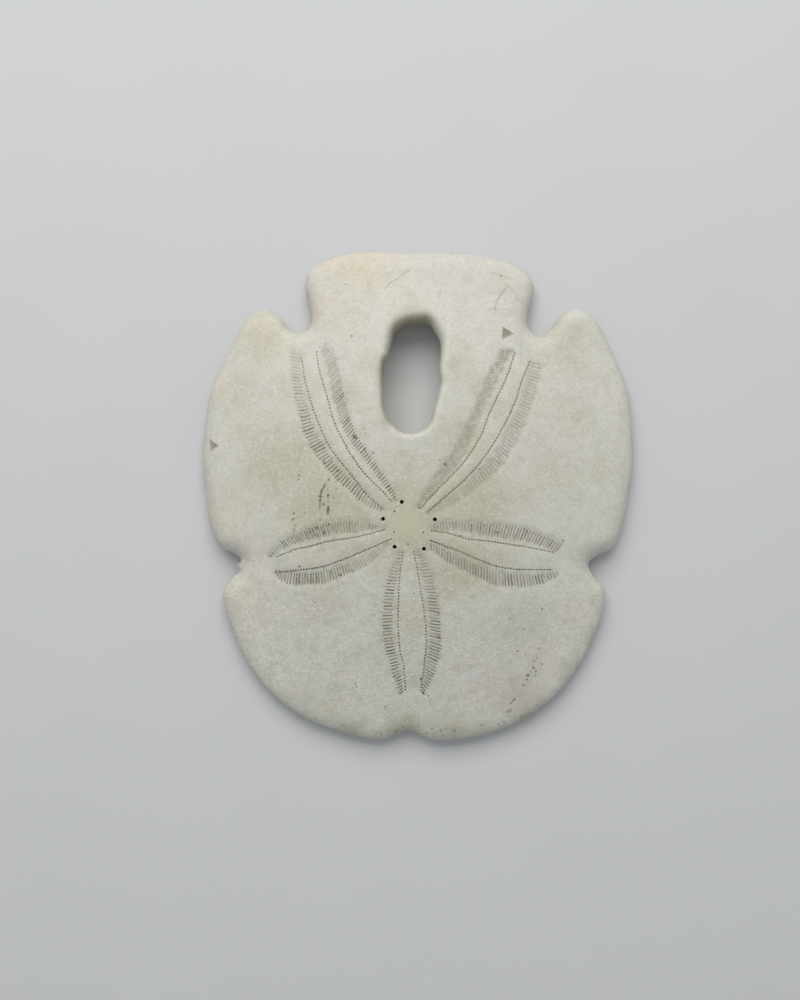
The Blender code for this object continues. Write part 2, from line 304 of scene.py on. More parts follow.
RIGHT_FRONT_DIRT_AND_SHADE = ((0.9, 0.9, 0.85, 1.0, 1.0, 0.85), 0.6, 0.4)
FRONT_LEFT_DIRT_AND_SHADE = ((0.55, 1.0, 1.0, 1.05, 1.15, 1.3), 0.3, 0.35)
FRONT_RIGHT_DIRT_AND_SHADE = ((0.45, 0.75, 0.9, 0.95, 1.0, 1.1), 0.3, 0.45)

# Each petal: how many pore pairs a row has, and its two rows with their dirt and painted shade.
PETALS = (
    (56, (REAR_LEFT_OUTER, REAR_LEFT_OUTER_DIRT_AND_SHADE), (REAR_LEFT_INNER, REAR_LEFT_INNER_DIRT_AND_SHADE)),
    (56, (REAR_RIGHT_INNER, REAR_RIGHT_INNER_DIRT_AND_SHADE), (REAR_RIGHT_OUTER, REAR_RIGHT_OUTER_DIRT_AND_SHADE)),
    (44, (LEFT_REAR, LEFT_REAR_DIRT_AND_SHADE), (LEFT_FRONT, LEFT_FRONT_DIRT_AND_SHADE)),
    (44, (RIGHT_REAR, RIGHT_REAR_DIRT_AND_SHADE), (RIGHT_FRONT, RIGHT_FRONT_DIRT_AND_SHADE)),
    (46, (FRONT_LEFT, FRONT_LEFT_DIRT_AND_SHADE), (FRONT_RIGHT, FRONT_RIGHT_DIRT_AND_SHADE)),
)

# Round holes about the apical disc, in the photo's pixels: the genital pores and the tiny ocular pores.
GENITAL_PORES = [(401.8, 502), (383, 519), (435, 519.5), (394.6, 547), (424, 549)]
OCULAR_PORES = [(394.5, 511.5), (394, 532), (408, 544.3), (423.5, 532.5), (419, 508), (380.5, 520)]
DISC = (407.0, 523.0)

# Dirt specks in the photo's pixels: place, radius and darkness. The first lists are the two strings of
# specks left of the middle, the trail at the lower right, and those among the pores.
LEFT_STRINGS = [
    (328.7, 479.7, 1.1, 0.9), (325.6, 482.8, 0.8, 0.6), (324.4, 486.1, 1.1, 0.9), (323.2, 488, 0.8, 0.8),
    (322.2, 489.7, 1.1, 0.9), (321.4, 491.9, 1.2, 1.0), (320.7, 494.3, 0.9, 0.8), (320.3, 496.7, 1.3, 1.0),
    (318.4, 496.4, 0.8, 0.7), (322.2, 496.7, 0.8, 0.7), (320.2, 499.2, 0.9, 0.8), (320, 501.1, 1.1, 0.9),
    (319.9, 503.8, 0.8, 0.6), (319.8, 506.1, 1.0, 0.7), (319.4, 508.9, 0.9, 0.6), (328.1, 486.1, 0.8, 0.4),
    (327.8, 490.6, 0.9, 0.5), (328, 495.6, 1.3, 0.95), (323.6, 504.2, 1.1, 0.85), (333.6, 497.6, 0.9, 0.5),
    (328.3, 507.2, 1.1, 0.85), (328, 509, 1.1, 0.95), (327.9, 510.6, 1.5, 1.0), (327.8, 512.4, 1.1, 0.95),
    (327.7, 514.4, 0.9, 0.7), (320, 520.2, 1.2, 0.6), (314.2, 473.3, 0.9, 0.4), (336.7, 489.4, 1.0, 0.35),
    (298.9, 475.6, 1.0, 0.6), (298.6, 479.7, 0.9, 0.6), (295.9, 500.3, 0.8, 0.5), (293.9, 513.7, 1.1, 0.65),
    (293, 519.4, 1.3, 0.75), (296, 517.8, 0.8, 0.45), (295.6, 525.9, 1.0, 0.6), (293.9, 530, 1.1, 0.7),
    (305, 513.9, 0.9, 0.35),
]
RIGHT_TRAIL = [
    (542, 609.4, 1.1, 0.7), (546.6, 615, 0.8, 0.4), (523, 629, 0.9, 0.7), (510, 610, 0.8, 0.4),
    (510, 618.6, 0.8, 0.5), (517.6, 651.2, 1.1, 0.7), (525.6, 654.4, 0.8, 0.45), (539, 649, 1.5, 0.4),
    (537, 658, 0.9, 0.55), (534, 661.4, 1.0, 0.6), (533.6, 668, 1.2, 0.8), (536, 671.4, 1.0, 0.7),
    (542, 664.4, 1.2, 0.45), (531, 672, 0.9, 0.5), (536, 675.6, 1.0, 0.7), (528, 675.6, 1.4, 0.8),
    (527, 679.6, 1.0, 0.7), (523.6, 685.4, 1.1, 0.75), (514.4, 689.6, 0.9, 0.45), (514.4, 699.6, 1.2, 0.75),
    (513, 701.2, 1.0, 0.7), (511, 703.4, 1.1, 0.75), (510, 711, 2.0, 0.45), (507.5, 712.5, 1.4, 0.4),
    (521, 717, 1.6, 0.4), (504, 722, 1.1, 0.6), (499, 724.4, 1.1, 0.6), (482, 725.4, 1.2, 0.5),
    (538, 705.6, 1.3, 0.35),
]
PORE_SPECKS = [
    (354.1, 436.4, 1.6, 1.0), (356, 438, 1.2, 0.9), (301.4, 416.7, 1.0, 0.7), (305.9, 417.3, 0.9, 0.6),
    (302.3, 410.5, 1.0, 0.7), (365, 450, 0.9, 0.6), (373.2, 452.7, 1.1, 0.75), (364, 429, 0.8, 0.5),
    (365, 433.6, 0.8, 0.5), (329.5, 415.5, 0.9, 0.6), (324.1, 462.7, 1.2, 0.9), (315, 450, 1.0, 0.7),
    (337.7, 470.9, 1.2, 0.8), (337.7, 479, 0.9, 0.6), (353.2, 457.3, 0.9, 0.6), (304.1, 430, 0.8, 0.6),
    (317, 527.8, 1.2, 0.9), (323.7, 532.8, 1.3, 0.9), (328.7, 524.5, 1.1, 0.8), (309.5, 532, 1.0, 0.7),
    (340.3, 575.3, 1.2, 0.8), (299.5, 567, 1.1, 0.8), (299.5, 582, 0.9, 0.7), (352, 570.3, 0.9, 0.5),
    (270.3, 556.7, 1.0, 0.7), (267.5, 557, 0.9, 0.6), (272.8, 553.7, 0.9, 0.6), (460.7, 536.3, 1.3, 0.8),
    (468.8, 539.5, 1.2, 0.6), (497.3, 532.3, 1.0, 0.8), (526.8, 532.3, 1.0, 0.5), (470.5, 519.8, 1.5, 0.35),
    (563.4, 540.7, 1.1, 0.7), (421, 679.4, 1.5, 1.0), (394, 677.4, 1.1, 0.8), (439, 637.4, 1.3, 0.8),
    (439, 613.4, 1.0, 0.7), (391, 581, 0.9, 0.6), (414, 594, 1.0, 0.35), (423, 693.4, 1.3, 0.8),
    (428.6, 696.4, 1.0, 0.7), (399.4, 694, 0.9, 0.6), (391, 639, 0.9, 0.5), (445.3, 464.5, 1.4, 0.8),
    (440, 460.5, 0.9, 0.5), (479.5, 469, 0.9, 0.5), (510.6, 412.5, 1.0, 0.5),
]
STRAY_SPECKS = [
    (351.5, 336, 1.0, 0.7), (345.5, 284.4, 0.9, 0.35), (315, 603, 0.9, 0.5), (355, 684, 0.9, 0.6),
    (356.5, 687, 0.9, 0.6), (385.5, 707, 1.0, 0.5), (385, 709.5, 0.9, 0.45), (432, 729, 1.2, 0.5),
    (441, 731, 1.3, 0.5), (445.5, 729, 1.3, 0.45), (454.5, 731.5, 1.3, 0.5), (443, 736, 1.1, 0.5),
    (342, 725, 0.9, 0.4), (381, 734, 1.1, 0.6), (395.5, 731.5, 1.2, 0.55), (403, 727, 1.1, 0.5),
    (419, 727, 1.2, 0.4), (427, 733, 1.1, 0.5), (494.4, 322.2, 1.0, 0.25), (501, 275.8, 1.4, 0.35),
    (445, 381, 0.8, 0.3), (277, 600, 0.8, 0.35), (283, 611, 0.8, 0.35), (568, 505, 0.9, 0.35),
    (552, 470, 0.8, 0.3), (250, 470, 0.9, 0.3), (262, 505, 0.8, 0.35),
]
SPECKS = LEFT_STRINGS + RIGHT_TRAIL + PORE_SPECKS + STRAY_SPECKS

# Two shallow chips with three sides each, in the photo's pixels.
CHIPS = [
    [(208.6, 437.4), (218.8, 446.2), (209.3, 453.8)],
    [(502.6, 326.2), (515.0, 334.0), (501.6, 340.6)],
]

# Hair cracks of the rear lobe and dark streaks along the strings of specks, in the photo's pixels, each
# with its half width in millimetres and dirt.
CRACKS = [
    ([(328.7, 479.7), (324.4, 486.1), (321.4, 491.9), (320.3, 498), (319.9, 507)], 0.13, 0.4),
    ([(328, 494), (328.1, 505), (327.7, 514.5)], 0.12, 0.4),
    ([(384.7, 289), (388.5, 284.5), (393.3, 281.3), (401, 276), (410.5, 270)], 0.11, 0.5),
    ([(495, 309), (498.3, 299.5), (502.2, 293.3), (508.3, 286.3)], 0.16, 0.5),
    ([(508.3, 286.3), (512.2, 289), (517.8, 297.2), (518.3, 301)], 0.15, 0.25),
    ([(489, 309.8), (495, 309.3), (498.5, 311)], 0.13, 0.2),
    ([(442.5, 284), (441, 290), (439.5, 297)], 0.12, 0.22),
    ([(492, 272.8), (501, 276), (511, 279.4)], 0.16, 0.2),
]

# Soft spots of grime and of warm, cream and lavender tints, in the photo's pixels: place, radius and
# strength.
GRIME_AND_SHADE_SPOTS = [
    (468, 430, 12, 0.25), (450, 462, 10, 0.25), (430, 490, 7, 0.30), (326, 505, 12, 0.22),
    (533, 668, 12, 0.25), (513, 706, 12, 0.30), (445, 729, 16, 0.35), (398, 729, 12, 0.35),
    (350, 726, 14, 0.25), (300, 712, 14, 0.15), (480, 727, 14, 0.25), (238, 558, 6, 0.20),
    # The next four spots lie by the keyhole: painted shade on its rear and left walls, mixed with olive dirt.
    (386, 421, 5, 0.8), (382, 397, 3, 0.30), (425, 315, 6, 0.55), (399, 318, 6, 0.30),
    (410, 722, 10, 0.25), (540, 612, 10, 0.12), (325, 440, 8, 0.12), (320, 530, 10, 0.15),
    (520, 698, 22, 0.5), (565, 672, 14, 0.2), (300, 700, 16, 0.2), (522, 622, 28, 0.12),
]
WARM_SPOTS = [
    (362, 268, 26, 1.0), (338, 264, 20, 0.8), (388, 262, 20, 0.5), (262, 330, 22, 0.6),
    (222, 385, 14, 0.5), (222, 520, 22, 0.45), (240, 600, 30, 0.35), (502, 277, 7, 0.5),
    (325, 300, 24, 0.5), (275, 350, 18, 0.5), (450, 352, 6, 0.5), (285, 362, 14, 0.4),
]
CREAM_SPOTS = [
    (330, 506, 66, 1.0), (410, 520, 60, 1.0), (470, 500, 55, 0.95), (460, 560, 45, 0.9), (285, 465, 50, 0.9),
    (300, 400, 38, 0.5), (545, 470, 50, 0.4), (500, 400, 40, 0.6), (568, 345, 34, 0.6), (408, 620, 45, 0.5),
    (412, 312, 15, 0.8), (515, 620, 34, 0.4), (570, 665, 13, 0.3), (330, 705, 25, 0.4), (250, 430, 36, 0.4),
    (590, 640, 14, 0.5), (500, 552, 30, 0.6), (405, 728, 26, 0.6), (470, 440, 34, 0.8), (330, 592, 40, 0.4),
    (530, 717, 14, 0.7), (262, 340, 28, 0.65), (245, 400, 30, 0.5), (345, 395, 26, 0.6), (575, 420, 32, 0.48),
    (605, 470, 22, 0.5), (460, 365, 22, 0.6), (368, 365, 18, 0.55), (345, 330, 26, 0.3), (320, 440, 40, 0.6),
    (460, 728, 16, 0.6), (350, 728, 16, 0.6),
]
LAVENDER_SPOTS = [
    (575, 612, 16, 0.7), (540, 655, 20, 0.9), (522, 692, 20, 0.9), (480, 680, 30, 0.7), (300, 655, 40, 0.3),
    (345, 690, 26, 0.4), (260, 590, 18, 0.4), (505, 300, 20, 0.5), (480, 260, 30, 0.4), (372, 450, 20, 0.4),
    (545, 440, 30, 0.5), (590, 390, 24, 0.4), (470, 420, 14, 0.3), (320, 610, 20, 0.5), (250, 545, 14, 0.4),
]

# The valleys that lead from the petals' tips to the notches, in the photo's pixels.
VALLEYS = [
    ((297, 352), (308, 330)),
    ((528, 356), (537, 332)),
    ((268, 562), (238, 566)),
    ((560, 562), (590, 566)),
    ((411, 694), (411, 733)),
]


def smooth_path(points, closed):
    """A smooth curve through the points, drawn with 24 points for each span."""
    knots = np.array(points, dtype=float)
    if not closed:
        first = 2.0 * knots[0] - knots[1]
        last = 2.0 * knots[-1] - knots[-2]
        knots = np.vstack([first, knots, last])
    count = len(knots)
    spans = range(count) if closed else range(1, count - 2)
    fine = []
    for i in spans:
        p0, p1, p2, p3 = (knots[(i + k) % count] for k in (-1, 0, 1, 2))
        t1 = math.sqrt(np.linalg.norm(p1 - p0))
        t2 = t1 + math.sqrt(np.linalg.norm(p2 - p1))
        t3 = t2 + math.sqrt(np.linalg.norm(p3 - p2))
        for t in np.linspace(t1, t2, 24, endpoint=False):
            a1 = p0 + (p1 - p0) * t / t1
            a2 = p1 + (p2 - p1) * (t - t1) / (t2 - t1)
            a3 = p2 + (p3 - p2) * (t - t2) / (t3 - t2)
            b1 = a1 + (a2 - a1) * t / t2
            b2 = a2 + (a3 - a2) * (t - t1) / (t3 - t1)
            fine.append(b1 + (b2 - b1) * (t - t1) / (t2 - t1))
    if not closed:
        fine.append(knots[-2])
    return np.array(fine)


def spread_evenly(loop, step):
    """The same closed curve with points one step apart."""
    closed = np.vstack([loop, loop[:1]])
    run = np.concatenate([[0.0], np.cumsum(np.linalg.norm(np.diff(closed, axis=0), axis=1))])
    marks = np.linspace(0.0, run[-1], round(run[-1] / step), endpoint=False)
    return np.column_stack([np.interp(marks, run, closed[:, k]) for k in (0, 1)])


def spread_along(path, step):
    """The same open curve with points about one step apart."""
    run = np.concatenate([[0.0], np.cumsum(np.linalg.norm(np.diff(path, axis=0), axis=1))])
    marks = np.linspace(0.0, run[-1], max(2, round(run[-1] / step) + 1))
    return np.column_stack([np.interp(marks, run, path[:, k]) for k in (0, 1)])


def distance_to_lines(starts, ends, points):
    """How far each point lies from the nearest of many short lines."""
    along = ends - starts
    square = np.maximum((along * along).sum(axis=1), 1e-12)
    gaps = []
    for low in range(0, len(points), 3000):
        away = points[low:low + 3000, None, :] - starts[None, :, :]
        share = np.clip((away * along).sum(axis=2) / square, 0.0, 1.0)
        gap = away - share[:, :, None] * along
        gaps.append(np.sqrt((gap * gap).sum(axis=2).min(axis=1)))
    return np.concatenate(gaps)


def distance_to(loop, points):
    """How far each point lies from a closed curve."""
    return distance_to_lines(loop, np.roll(loop, -1, axis=0), points)


def is_inside(loop, points):
    """Whether each point lies inside a closed curve."""
    x1, y1 = loop[:, 0], loop[:, 1]
    x2, y2 = np.roll(x1, -1), np.roll(y1, -1)
    level = np.where(y1 == y2, 1.0, y2 - y1)
    answers = []
    for low in range(0, len(points), 5000):
        x, y = points[low:low + 5000, :1], points[low:low + 5000, 1:]
        spans = (y1 > y) != (y2 > y)
        crossings = spans & (x < x1 + (y - y1) * (x2 - x1) / level)
        answers.append(crossings.sum(axis=1) % 2 == 1)
    return np.concatenate(answers)


def smooth_step(low, high, value):
    """Zero below low, one above high, and an even slope between them."""
    share = np.clip((value - low) / (high - low), 0.0, 1.0)
    return share * share * (3.0 - 2.0 * share)


def quarter_round(share):
    """The height of a quarter ellipse, from 0 at its foot to 1 where it levels out."""
    return np.sqrt(1.0 - (1.0 - np.clip(share, 0.0, 1.0)) ** 2)


def search_tree(spots):
    """A tree that finds the nearest of many spots in plan."""
    tree = KDTree(len(spots))
    for index, (x, y) in enumerate(spots):
        tree.insert((x, y, 0.0), index)
    tree.balance()
    return tree


def gap_to_spots(spots, points):
    """How far each point lies from the nearest spot."""
    tree = search_tree(spots)
    return np.array([tree.find((x, y, 0.0))[2] for x, y in points])


class Outline:
    """The shell's edge and keyhole as curves and as points, and the sizes of the shell between them."""

    def __init__(self, sizes):
        low, high = CAD_BOX
        fine = spread_evenly(smooth_path(EDGE, True), FINE_STEP)
        self.sizes = sizes
        self.edge = np.clip(fine, np.array(low[:2]) / MM, np.array(high[:2]) / MM)
        self.keyhole = spread_evenly(smooth_path(KEYHOLE, True), FINE_STEP)
        self.edge_points = spread_evenly(self.edge, EDGE_STEP)
        self.keyhole_points = spread_evenly(self.keyhole, KEYHOLE_STEP)

    def holds(self, points):
        """Whether each point lies on the shell."""
        return is_inside(self.edge, points) & ~is_inside(self.keyhole, points)

    def keep(self, points, from_edge, from_keyhole):
        """The points on the shell that are further than this from its edge and its keyhole."""
        kept = distance_to(self.edge, points) > from_edge
        kept &= distance_to(self.keyhole, points) > from_keyhole
        return points[kept & self.holds(points)]

    def rings(self, edge_offsets, keyhole_offsets):
        """Points along the edge and along the keyhole, moved into the shell by each offset."""
        about_edge = rings_into_shell(self.edge_points, self.edge, edge_offsets)
        return about_edge, rings_into_shell(self.keyhole_points, self.keyhole, keyhole_offsets)


def dome_height(points, to_keyhole, sizes):
    """The low dome with its raised lip about the keyhole, before any rounding."""
    across = (points[:, 0] - APEX[0]) / DOME_HALF_WIDTH
    ahead = points[:, 1] - APEX[1]
    along = np.where(ahead > 0.0, ahead / DOME_REAR_REACH, ahead / DOME_FRONT_REACH)
    fall = np.clip(1.0 - across**2 - along**2, 0.0, 1.0)
    margin = sizes.margin_height / MM
    height = margin + (sizes.apex_height / MM - margin) * fall**DOME_FULLNESS
    return height + sizes.lip_rise / MM * np.exp(-((to_keyhole / (sizes.lip_width / MM)) ** 2))


def keyhole_rear(points):
    """Zero along most of the keyhole, and one at its rear end."""
    return smooth_step(*KEYHOLE_REAR, points[:, 1])


def keyhole_drop(points):
    """How far the keyhole's narrowest line lies below its lip: further at the rear."""
    return KEYHOLE_DROP + KEYHOLE_REAR_DROP * keyhole_rear(points)


def keyhole_level(points, sizes):
    """The height of the keyhole's narrowest line near these points."""
    return dome_height(points, np.zeros(len(points)), sizes) - keyhole_drop(points)


def smooth_top(points, outline):
    """The upper surface without its petals: a low dome with a round edge and a rounded keyhole."""
    to_edge = distance_to(outline.edge, points)
    to_keyhole = distance_to(outline.keyhole, points)
    height = dome_height(points, to_keyhole, outline.sizes)
    keyhole_round = KEYHOLE_ROUND_ABOVE + KEYHOLE_REAR_SLOPE * keyhole_rear(points)
    height -= keyhole_drop(points) * (1.0 - quarter_round(to_keyhole / keyhole_round))
    return WIDEST_LEVEL + (height - WIDEST_LEVEL) * quarter_round(to_edge / EDGE_ROUND_ABOVE)


def smooth_bottom(points, outline):
    """The underside without its grooves: a flat rim, a slight hollow, the mouth and the anus."""
    to_edge = distance_to(outline.edge, points)
    to_keyhole = distance_to(outline.keyhole, points)
    height = HOLLOW_RISE * smooth_step(FLAT_RIM, FLAT_RIM + HOLLOW_SLOPE, to_edge)
    for centre, radius, depth in (MOUTH, ANUS):
        near = np.hypot(points[:, 0] - centre[0], points[:, 1] - centre[1])
        height += depth * (1.0 - smooth_step(0.35 * radius, radius, near))
    from_lip = quarter_round(to_keyhole / KEYHOLE_ROUND_BELOW)
    height += keyhole_level(points, outline.sizes) * (1.0 - from_lip)
    return height + WIDEST_LEVEL * (1.0 - quarter_round(to_edge / EDGE_ROUND_BELOW))


def from_photo(pixels, outline):
    """Where the camera's lines through the photo's pixels meet the upper surface, seen from above."""
    pixels = np.array(pixels, dtype=float)
    offset = (pixels - PHOTO_MIDDLE) * (PIXEL, -PIXEL)
    spots = CAMERA_SPOT + offset
    for _turn in range(3):
        rise = smooth_top(spots, outline) - WIDEST_LEVEL
        spots = CAMERA_SPOT + offset * ((CAMERA_RISE - rise) / CAMERA_RISE)[:, None]
    return spots


def photo_line(pixels, outline):
    """A smooth curve over the upper surface, seen from above, through the photo's pixels."""
    return from_photo(smooth_path(pixels, False), outline)


def petal_middle(petal, outline):
    """Points along the middle of a petal, with half the gap between its two lines of round pores."""
    share = np.linspace(0.0, 1.0, PETAL_POINTS)
    sides = []
    for row, _dirt in petal[1:]:
        side = spread_along(photo_line(row[0], outline), 1.0)
        marks = np.linspace(0.0, 1.0, len(side))
        sides.append(np.column_stack([np.interp(share, marks, side[:, k]) for k in (0, 1)]))
    middle = (sides[0] + sides[1]) / 2.0
    half = np.linalg.norm(sides[0] - sides[1], axis=1) / 2.0
    return middle, half, share


def relief(points, outline):
    """What the petals' middle strips, the valleys and the chips add to the smooth upper surface."""
    sizes = outline.sizes
    height = np.zeros(len(points))
    for petal in PETALS:
        middle, half, share = petal_middle(petal, outline)
        tree = search_tree(middle)
        found = [tree.find((x, y, 0.0)) for x, y in points]
        nearest = np.array([item[1] for item in found])
        gap = np.array([item[2] for item in found])
        swell = 1.0 - smooth_step(0.35, 1.05, gap / np.maximum(half[nearest], 0.2))
        swell *= smooth_step(0.0, 0.15, share[nearest]) * (1.0 - smooth_step(0.9, 1.0, share[nearest]))
        height += sizes.strip_rise / MM * swell
    for tip, notch in VALLEYS:
        line = from_photo([tip, notch], outline)
        gap = distance_to_lines(line[:1], line[1:], points)
        height -= sizes.valley_depth / MM * np.exp(-((gap / VALLEY_REACH) ** 2))
    for chip in CHIPS:
        corners = from_photo(chip, outline)
        wall = smooth_step(0.0, CHIP_WALL, distance_to(corners, points))
        height -= np.where(is_inside(corners, points), sizes.chip_depth / MM * wall, 0.0)
    return height


class NodeBuilder:
    """Adds nodes to a tree in a tidy row, and sets or links their inputs."""

    def __init__(self, tree):
        self.tree = tree
        self.placed = 0

    def add(self, kind, inputs=None, **settings):
        """One node. The inputs are found by identifier or else by name, and a socket is linked."""
        node = self.tree.nodes.new(kind)
        node.location = (190.0 * (self.placed // 4), -230.0 * (self.placed % 4))
        self.placed += 1
        for name, value in settings.items():
            setattr(node, name, value)
        for key, value in (inputs or {}).items():
            socket = self.socket(node, key)
            if isinstance(value, bpy.types.NodeSocket):
                self.tree.links.new(value, socket)
            else:
                socket.default_value = value
        return node

    @staticmethod
    def socket(node, key):
        """The node's input with this identifier, name or number."""
        if isinstance(key, int):
            return node.inputs[key]
        for socket in node.inputs:
            if socket.identifier == key:
                return socket
        return node.inputs[key]

    @staticmethod
    def output(node, identifier):
        """The node's output with this identifier."""
        for socket in node.outputs:
            if socket.identifier == identifier:
                return socket
        raise KeyError(identifier)

    def named(self, label):
        """The numbers of the geometry's attribute with this name."""
        return self.add("GeometryNodeInputNamedAttribute", {"Name": label}, data_type="FLOAT").outputs[0]

    def store(self, geometry, label, value, domain="POINT"):
        """The geometry with numbers kept in an attribute."""
        kind = "GeometryNodeStoreNamedAttribute"
        inputs = {"Geometry": geometry, "Name": label, "Value": value}
        return self.add(kind, inputs, data_type="FLOAT", domain=domain).outputs[0]

    def random(self, low, high, index, seed):
        """A random number between low and high for each point."""
        inputs = {"Min_001": low, "Max_001": high, "ID": index, "Seed": seed}
        amount = self.add("FunctionNodeRandomValue", inputs, data_type="FLOAT")
        return self.output(amount, "Value_001")

    def sum(self, operation, *values):
        """The values joined by one kind of sum, two at a time."""
        total = values[0]
        for value in values[1:]:
            total = self.add("ShaderNodeMath", {0: total, 1: value}, operation=operation).outputs[0]
        return total

    def fade(self, value, low, high, start=0.0, end=1.0):
        """A smooth change from start at low to end at high."""
        inputs = {"Value": value, "From Min": low, "From Max": high, "To Min": start, "To Max": end}
        return self.add("ShaderNodeMapRange", inputs, interpolation_type="SMOOTHSTEP").outputs[0]


def new_geometry_tree(name, sockets):
    """A geometry tree with its group input and output, and the sockets named in the list."""
    tree = bpy.data.node_groups.new(name, "GeometryNodeTree")
    tree.interface.new_socket("Geometry", in_out="INPUT", socket_type="NodeSocketGeometry")
    tree.interface.new_socket("Geometry", in_out="OUTPUT", socket_type="NodeSocketGeometry")
    for label, kind in sockets:
        tree.interface.new_socket(label, in_out="INPUT", socket_type=kind)
    builder = NodeBuilder(tree)
    entry = builder.add("NodeGroupInput").outputs
    return tree, builder, entry


def close_tree(builder, geometry, material):
    """Realize the instances, set the material and lead to the tree's output."""
    real = builder.add("GeometryNodeRealizeInstances", {"Geometry": geometry}).outputs[0]
    inputs = {"Geometry": real, "Material": material}
    finished = builder.add("GeometryNodeSetMaterial", inputs).outputs[0]
    builder.add("NodeGroupOutput", {"Geometry": finished})


def run_tree(holder, tree, values):
    """The plain mesh that the tree makes of an object, with its inputs set by identifier."""
    modifier = holder.modifiers.new(tree.name, "NODES")
    modifier.node_group = tree
    for item in tree.interface.items_tree:
        if item.in_out == "INPUT" and item.name in values:
            modifier[item.identifier] = values[item.name]
    graph = bpy.context.evaluated_depsgraph_get()
    made = holder.evaluated_get(graph)
    mesh = bpy.data.meshes.new_from_object(made, preserve_all_data_layers=True, depsgraph=graph)
    holder.modifiers.remove(modifier)
    return mesh


def pore_row_tree():
    """Turns three guide lines into one row of slits and round pores.

    The first spline carries the round pores, and the slits run from the second spline to the third.
    """
    sockets = [
        ("Pores", "NodeSocketInt"),
        ("Jitter", "NodeSocketFloat"),
        ("Seed", "NodeSocketInt"),
        ("Material", "NodeSocketMaterial"),
    ]
    tree, builder, entry = new_geometry_tree("pore_row", sockets)
    inputs = {"Curve": entry["Geometry"], "Count": entry["Pores"]}
    even = builder.add("GeometryNodeResampleCurve", inputs, mode="COUNT").outputs[0]
    index = builder.add("GeometryNodeInputIndex").outputs[0]

    lines = []
    for number in range(3):
        inputs = {"A_INT": index, "B_INT": number}
        chosen = builder.add("FunctionNodeCompare", inputs, data_type="INT", operation="EQUAL")
        inputs = {"Geometry": even, "Selection": chosen.outputs[0]}
        line = builder.add("GeometryNodeSeparateGeometry", inputs, domain="CURVE").outputs[0]
        points = builder.add("GeometryNodeCurveToPoints", {"Curve": line}, mode="EVALUATED").outputs[0]
        shake = builder.add("ShaderNodeCombineXYZ")
        for axis in (0, 1):
            seed = builder.sum("ADD", entry["Seed"], 10.0 * number + axis)
            low = builder.sum("MULTIPLY", entry["Jitter"], -1.0)
            tree.links.new(builder.random(low, entry["Jitter"], index, seed), shake.inputs[axis])
        inputs = {"Geometry": points, "Offset": shake.outputs[0]}
        lines.append(builder.add("GeometryNodeSetPosition", inputs).outputs[0])

    position = builder.add("GeometryNodeInputPosition").outputs[0]
    inputs = {"Geometry": lines[2], "Value": position, "Index": index}
    outer = builder.add("GeometryNodeSampleIndex", inputs, data_type="FLOAT_VECTOR").outputs[0]
    inputs = {0: outer, 1: position}
    run = builder.add("ShaderNodeVectorMath", inputs, operation="SUBTRACT").outputs[0]
    shares = []
    for number, (low, high) in enumerate((SLIT_START, SLIT_LENGTH, SLIT_DEEP)):
        seed = builder.sum("ADD", entry["Seed"], 40.0 + number)
        shares.append(builder.random(low, high, index, seed))
    inputs = {0: run, "Scale": shares[0]}
    slip = builder.add("ShaderNodeVectorMath", inputs, operation="SCALE").outputs[0]
    inputs = {"Geometry": lines[1], "Offset": slip}
    starts = builder.add("GeometryNodeSetPosition", inputs).outputs[0]
    length = builder.add("ShaderNodeVectorMath", {0: run}, operation="LENGTH").outputs["Value"]
    length = builder.sum("MULTIPLY", length, shares[1])
    turn = builder.add("FunctionNodeAlignRotationToVector", {"Vector": run}, axis="X").outputs[0]
    stretch = builder.add("ShaderNodeCombineXYZ", {"X": length, "Y": 1.0, "Z": 1.0}).outputs[0]
    inputs = {"Count": STICK_POINTS, "Offset": (1.0 / (STICK_POINTS - 1), 0.0, 0.0)}
    stick = builder.add("GeometryNodeMeshLine", inputs, mode="OFFSET").outputs[0]
    inputs = {"Points": starts, "Instance": stick, "Rotation": turn, "Scale": stretch}
    slits = builder.add("GeometryNodeInstanceOnPoints", inputs).outputs[0]
    inputs = {"Vector": position, "Scale": 620.0, "Detail": 1.0}
    clumps = builder.add("ShaderNodeTexNoise", inputs).outputs["Fac"]
    deep = builder.sum("MULTIPLY", shares[2], builder.fade(clumps, 0.32, 0.62, 0.45, 1.0))
    slits = builder.store(slits, "deep", deep, "INSTANCE")
    dots = builder.add("GeometryNodePointsToVertices", {"Points": lines[0]}).outputs[0]
    join = builder.add("GeometryNodeJoinGeometry")
    tree.links.new(dots, join.inputs[0])
    tree.links.new(slits, join.inputs[0])
    close_tree(builder, join.outputs[0], entry["Material"])
    return tree


def add_object(name, data, collection):
    """An object that shows this mesh, curve, light or camera, in the collection."""
    made = bpy.data.objects.new(name, data)
    collection.objects.link(made)
    return made


def store_numbers(mesh, lists):
    """Keep each list of numbers in an attribute of the mesh's points."""
    for label, numbers in lists.items():
        layer = mesh.attributes.new(label, "FLOAT", "POINT")
        layer.data.foreach_set("value", np.array(numbers, dtype=np.float32))


def guide_curve(name, lines):
    """A curve object with one straight-sided spline for each line, in metres on the ground."""
    curve = bpy.data.curves.new(name, "CURVE")
    curve.dimensions = "3D"
    for line in lines:
        spline = curve.splines.new("POLY")
        spline.points.add(len(line) - 1)
        for point, (x, y) in zip(spline.points, line):
            point.co = (x * MM, y * MM, 0.0, 1.0)
    return add_object(name, curve, bpy.context.collection)


def guide_mesh(name, spots, edges, lists):
    """A mesh of bare points and lines that the carving tree measures distances to."""
    mesh = bpy.data.meshes.new(name)
    mesh.from_pydata([Vector(spot) * MM for spot in spots], edges, [])
    store_numbers(mesh, lists)
    return add_object(name, mesh, bpy.context.collection)


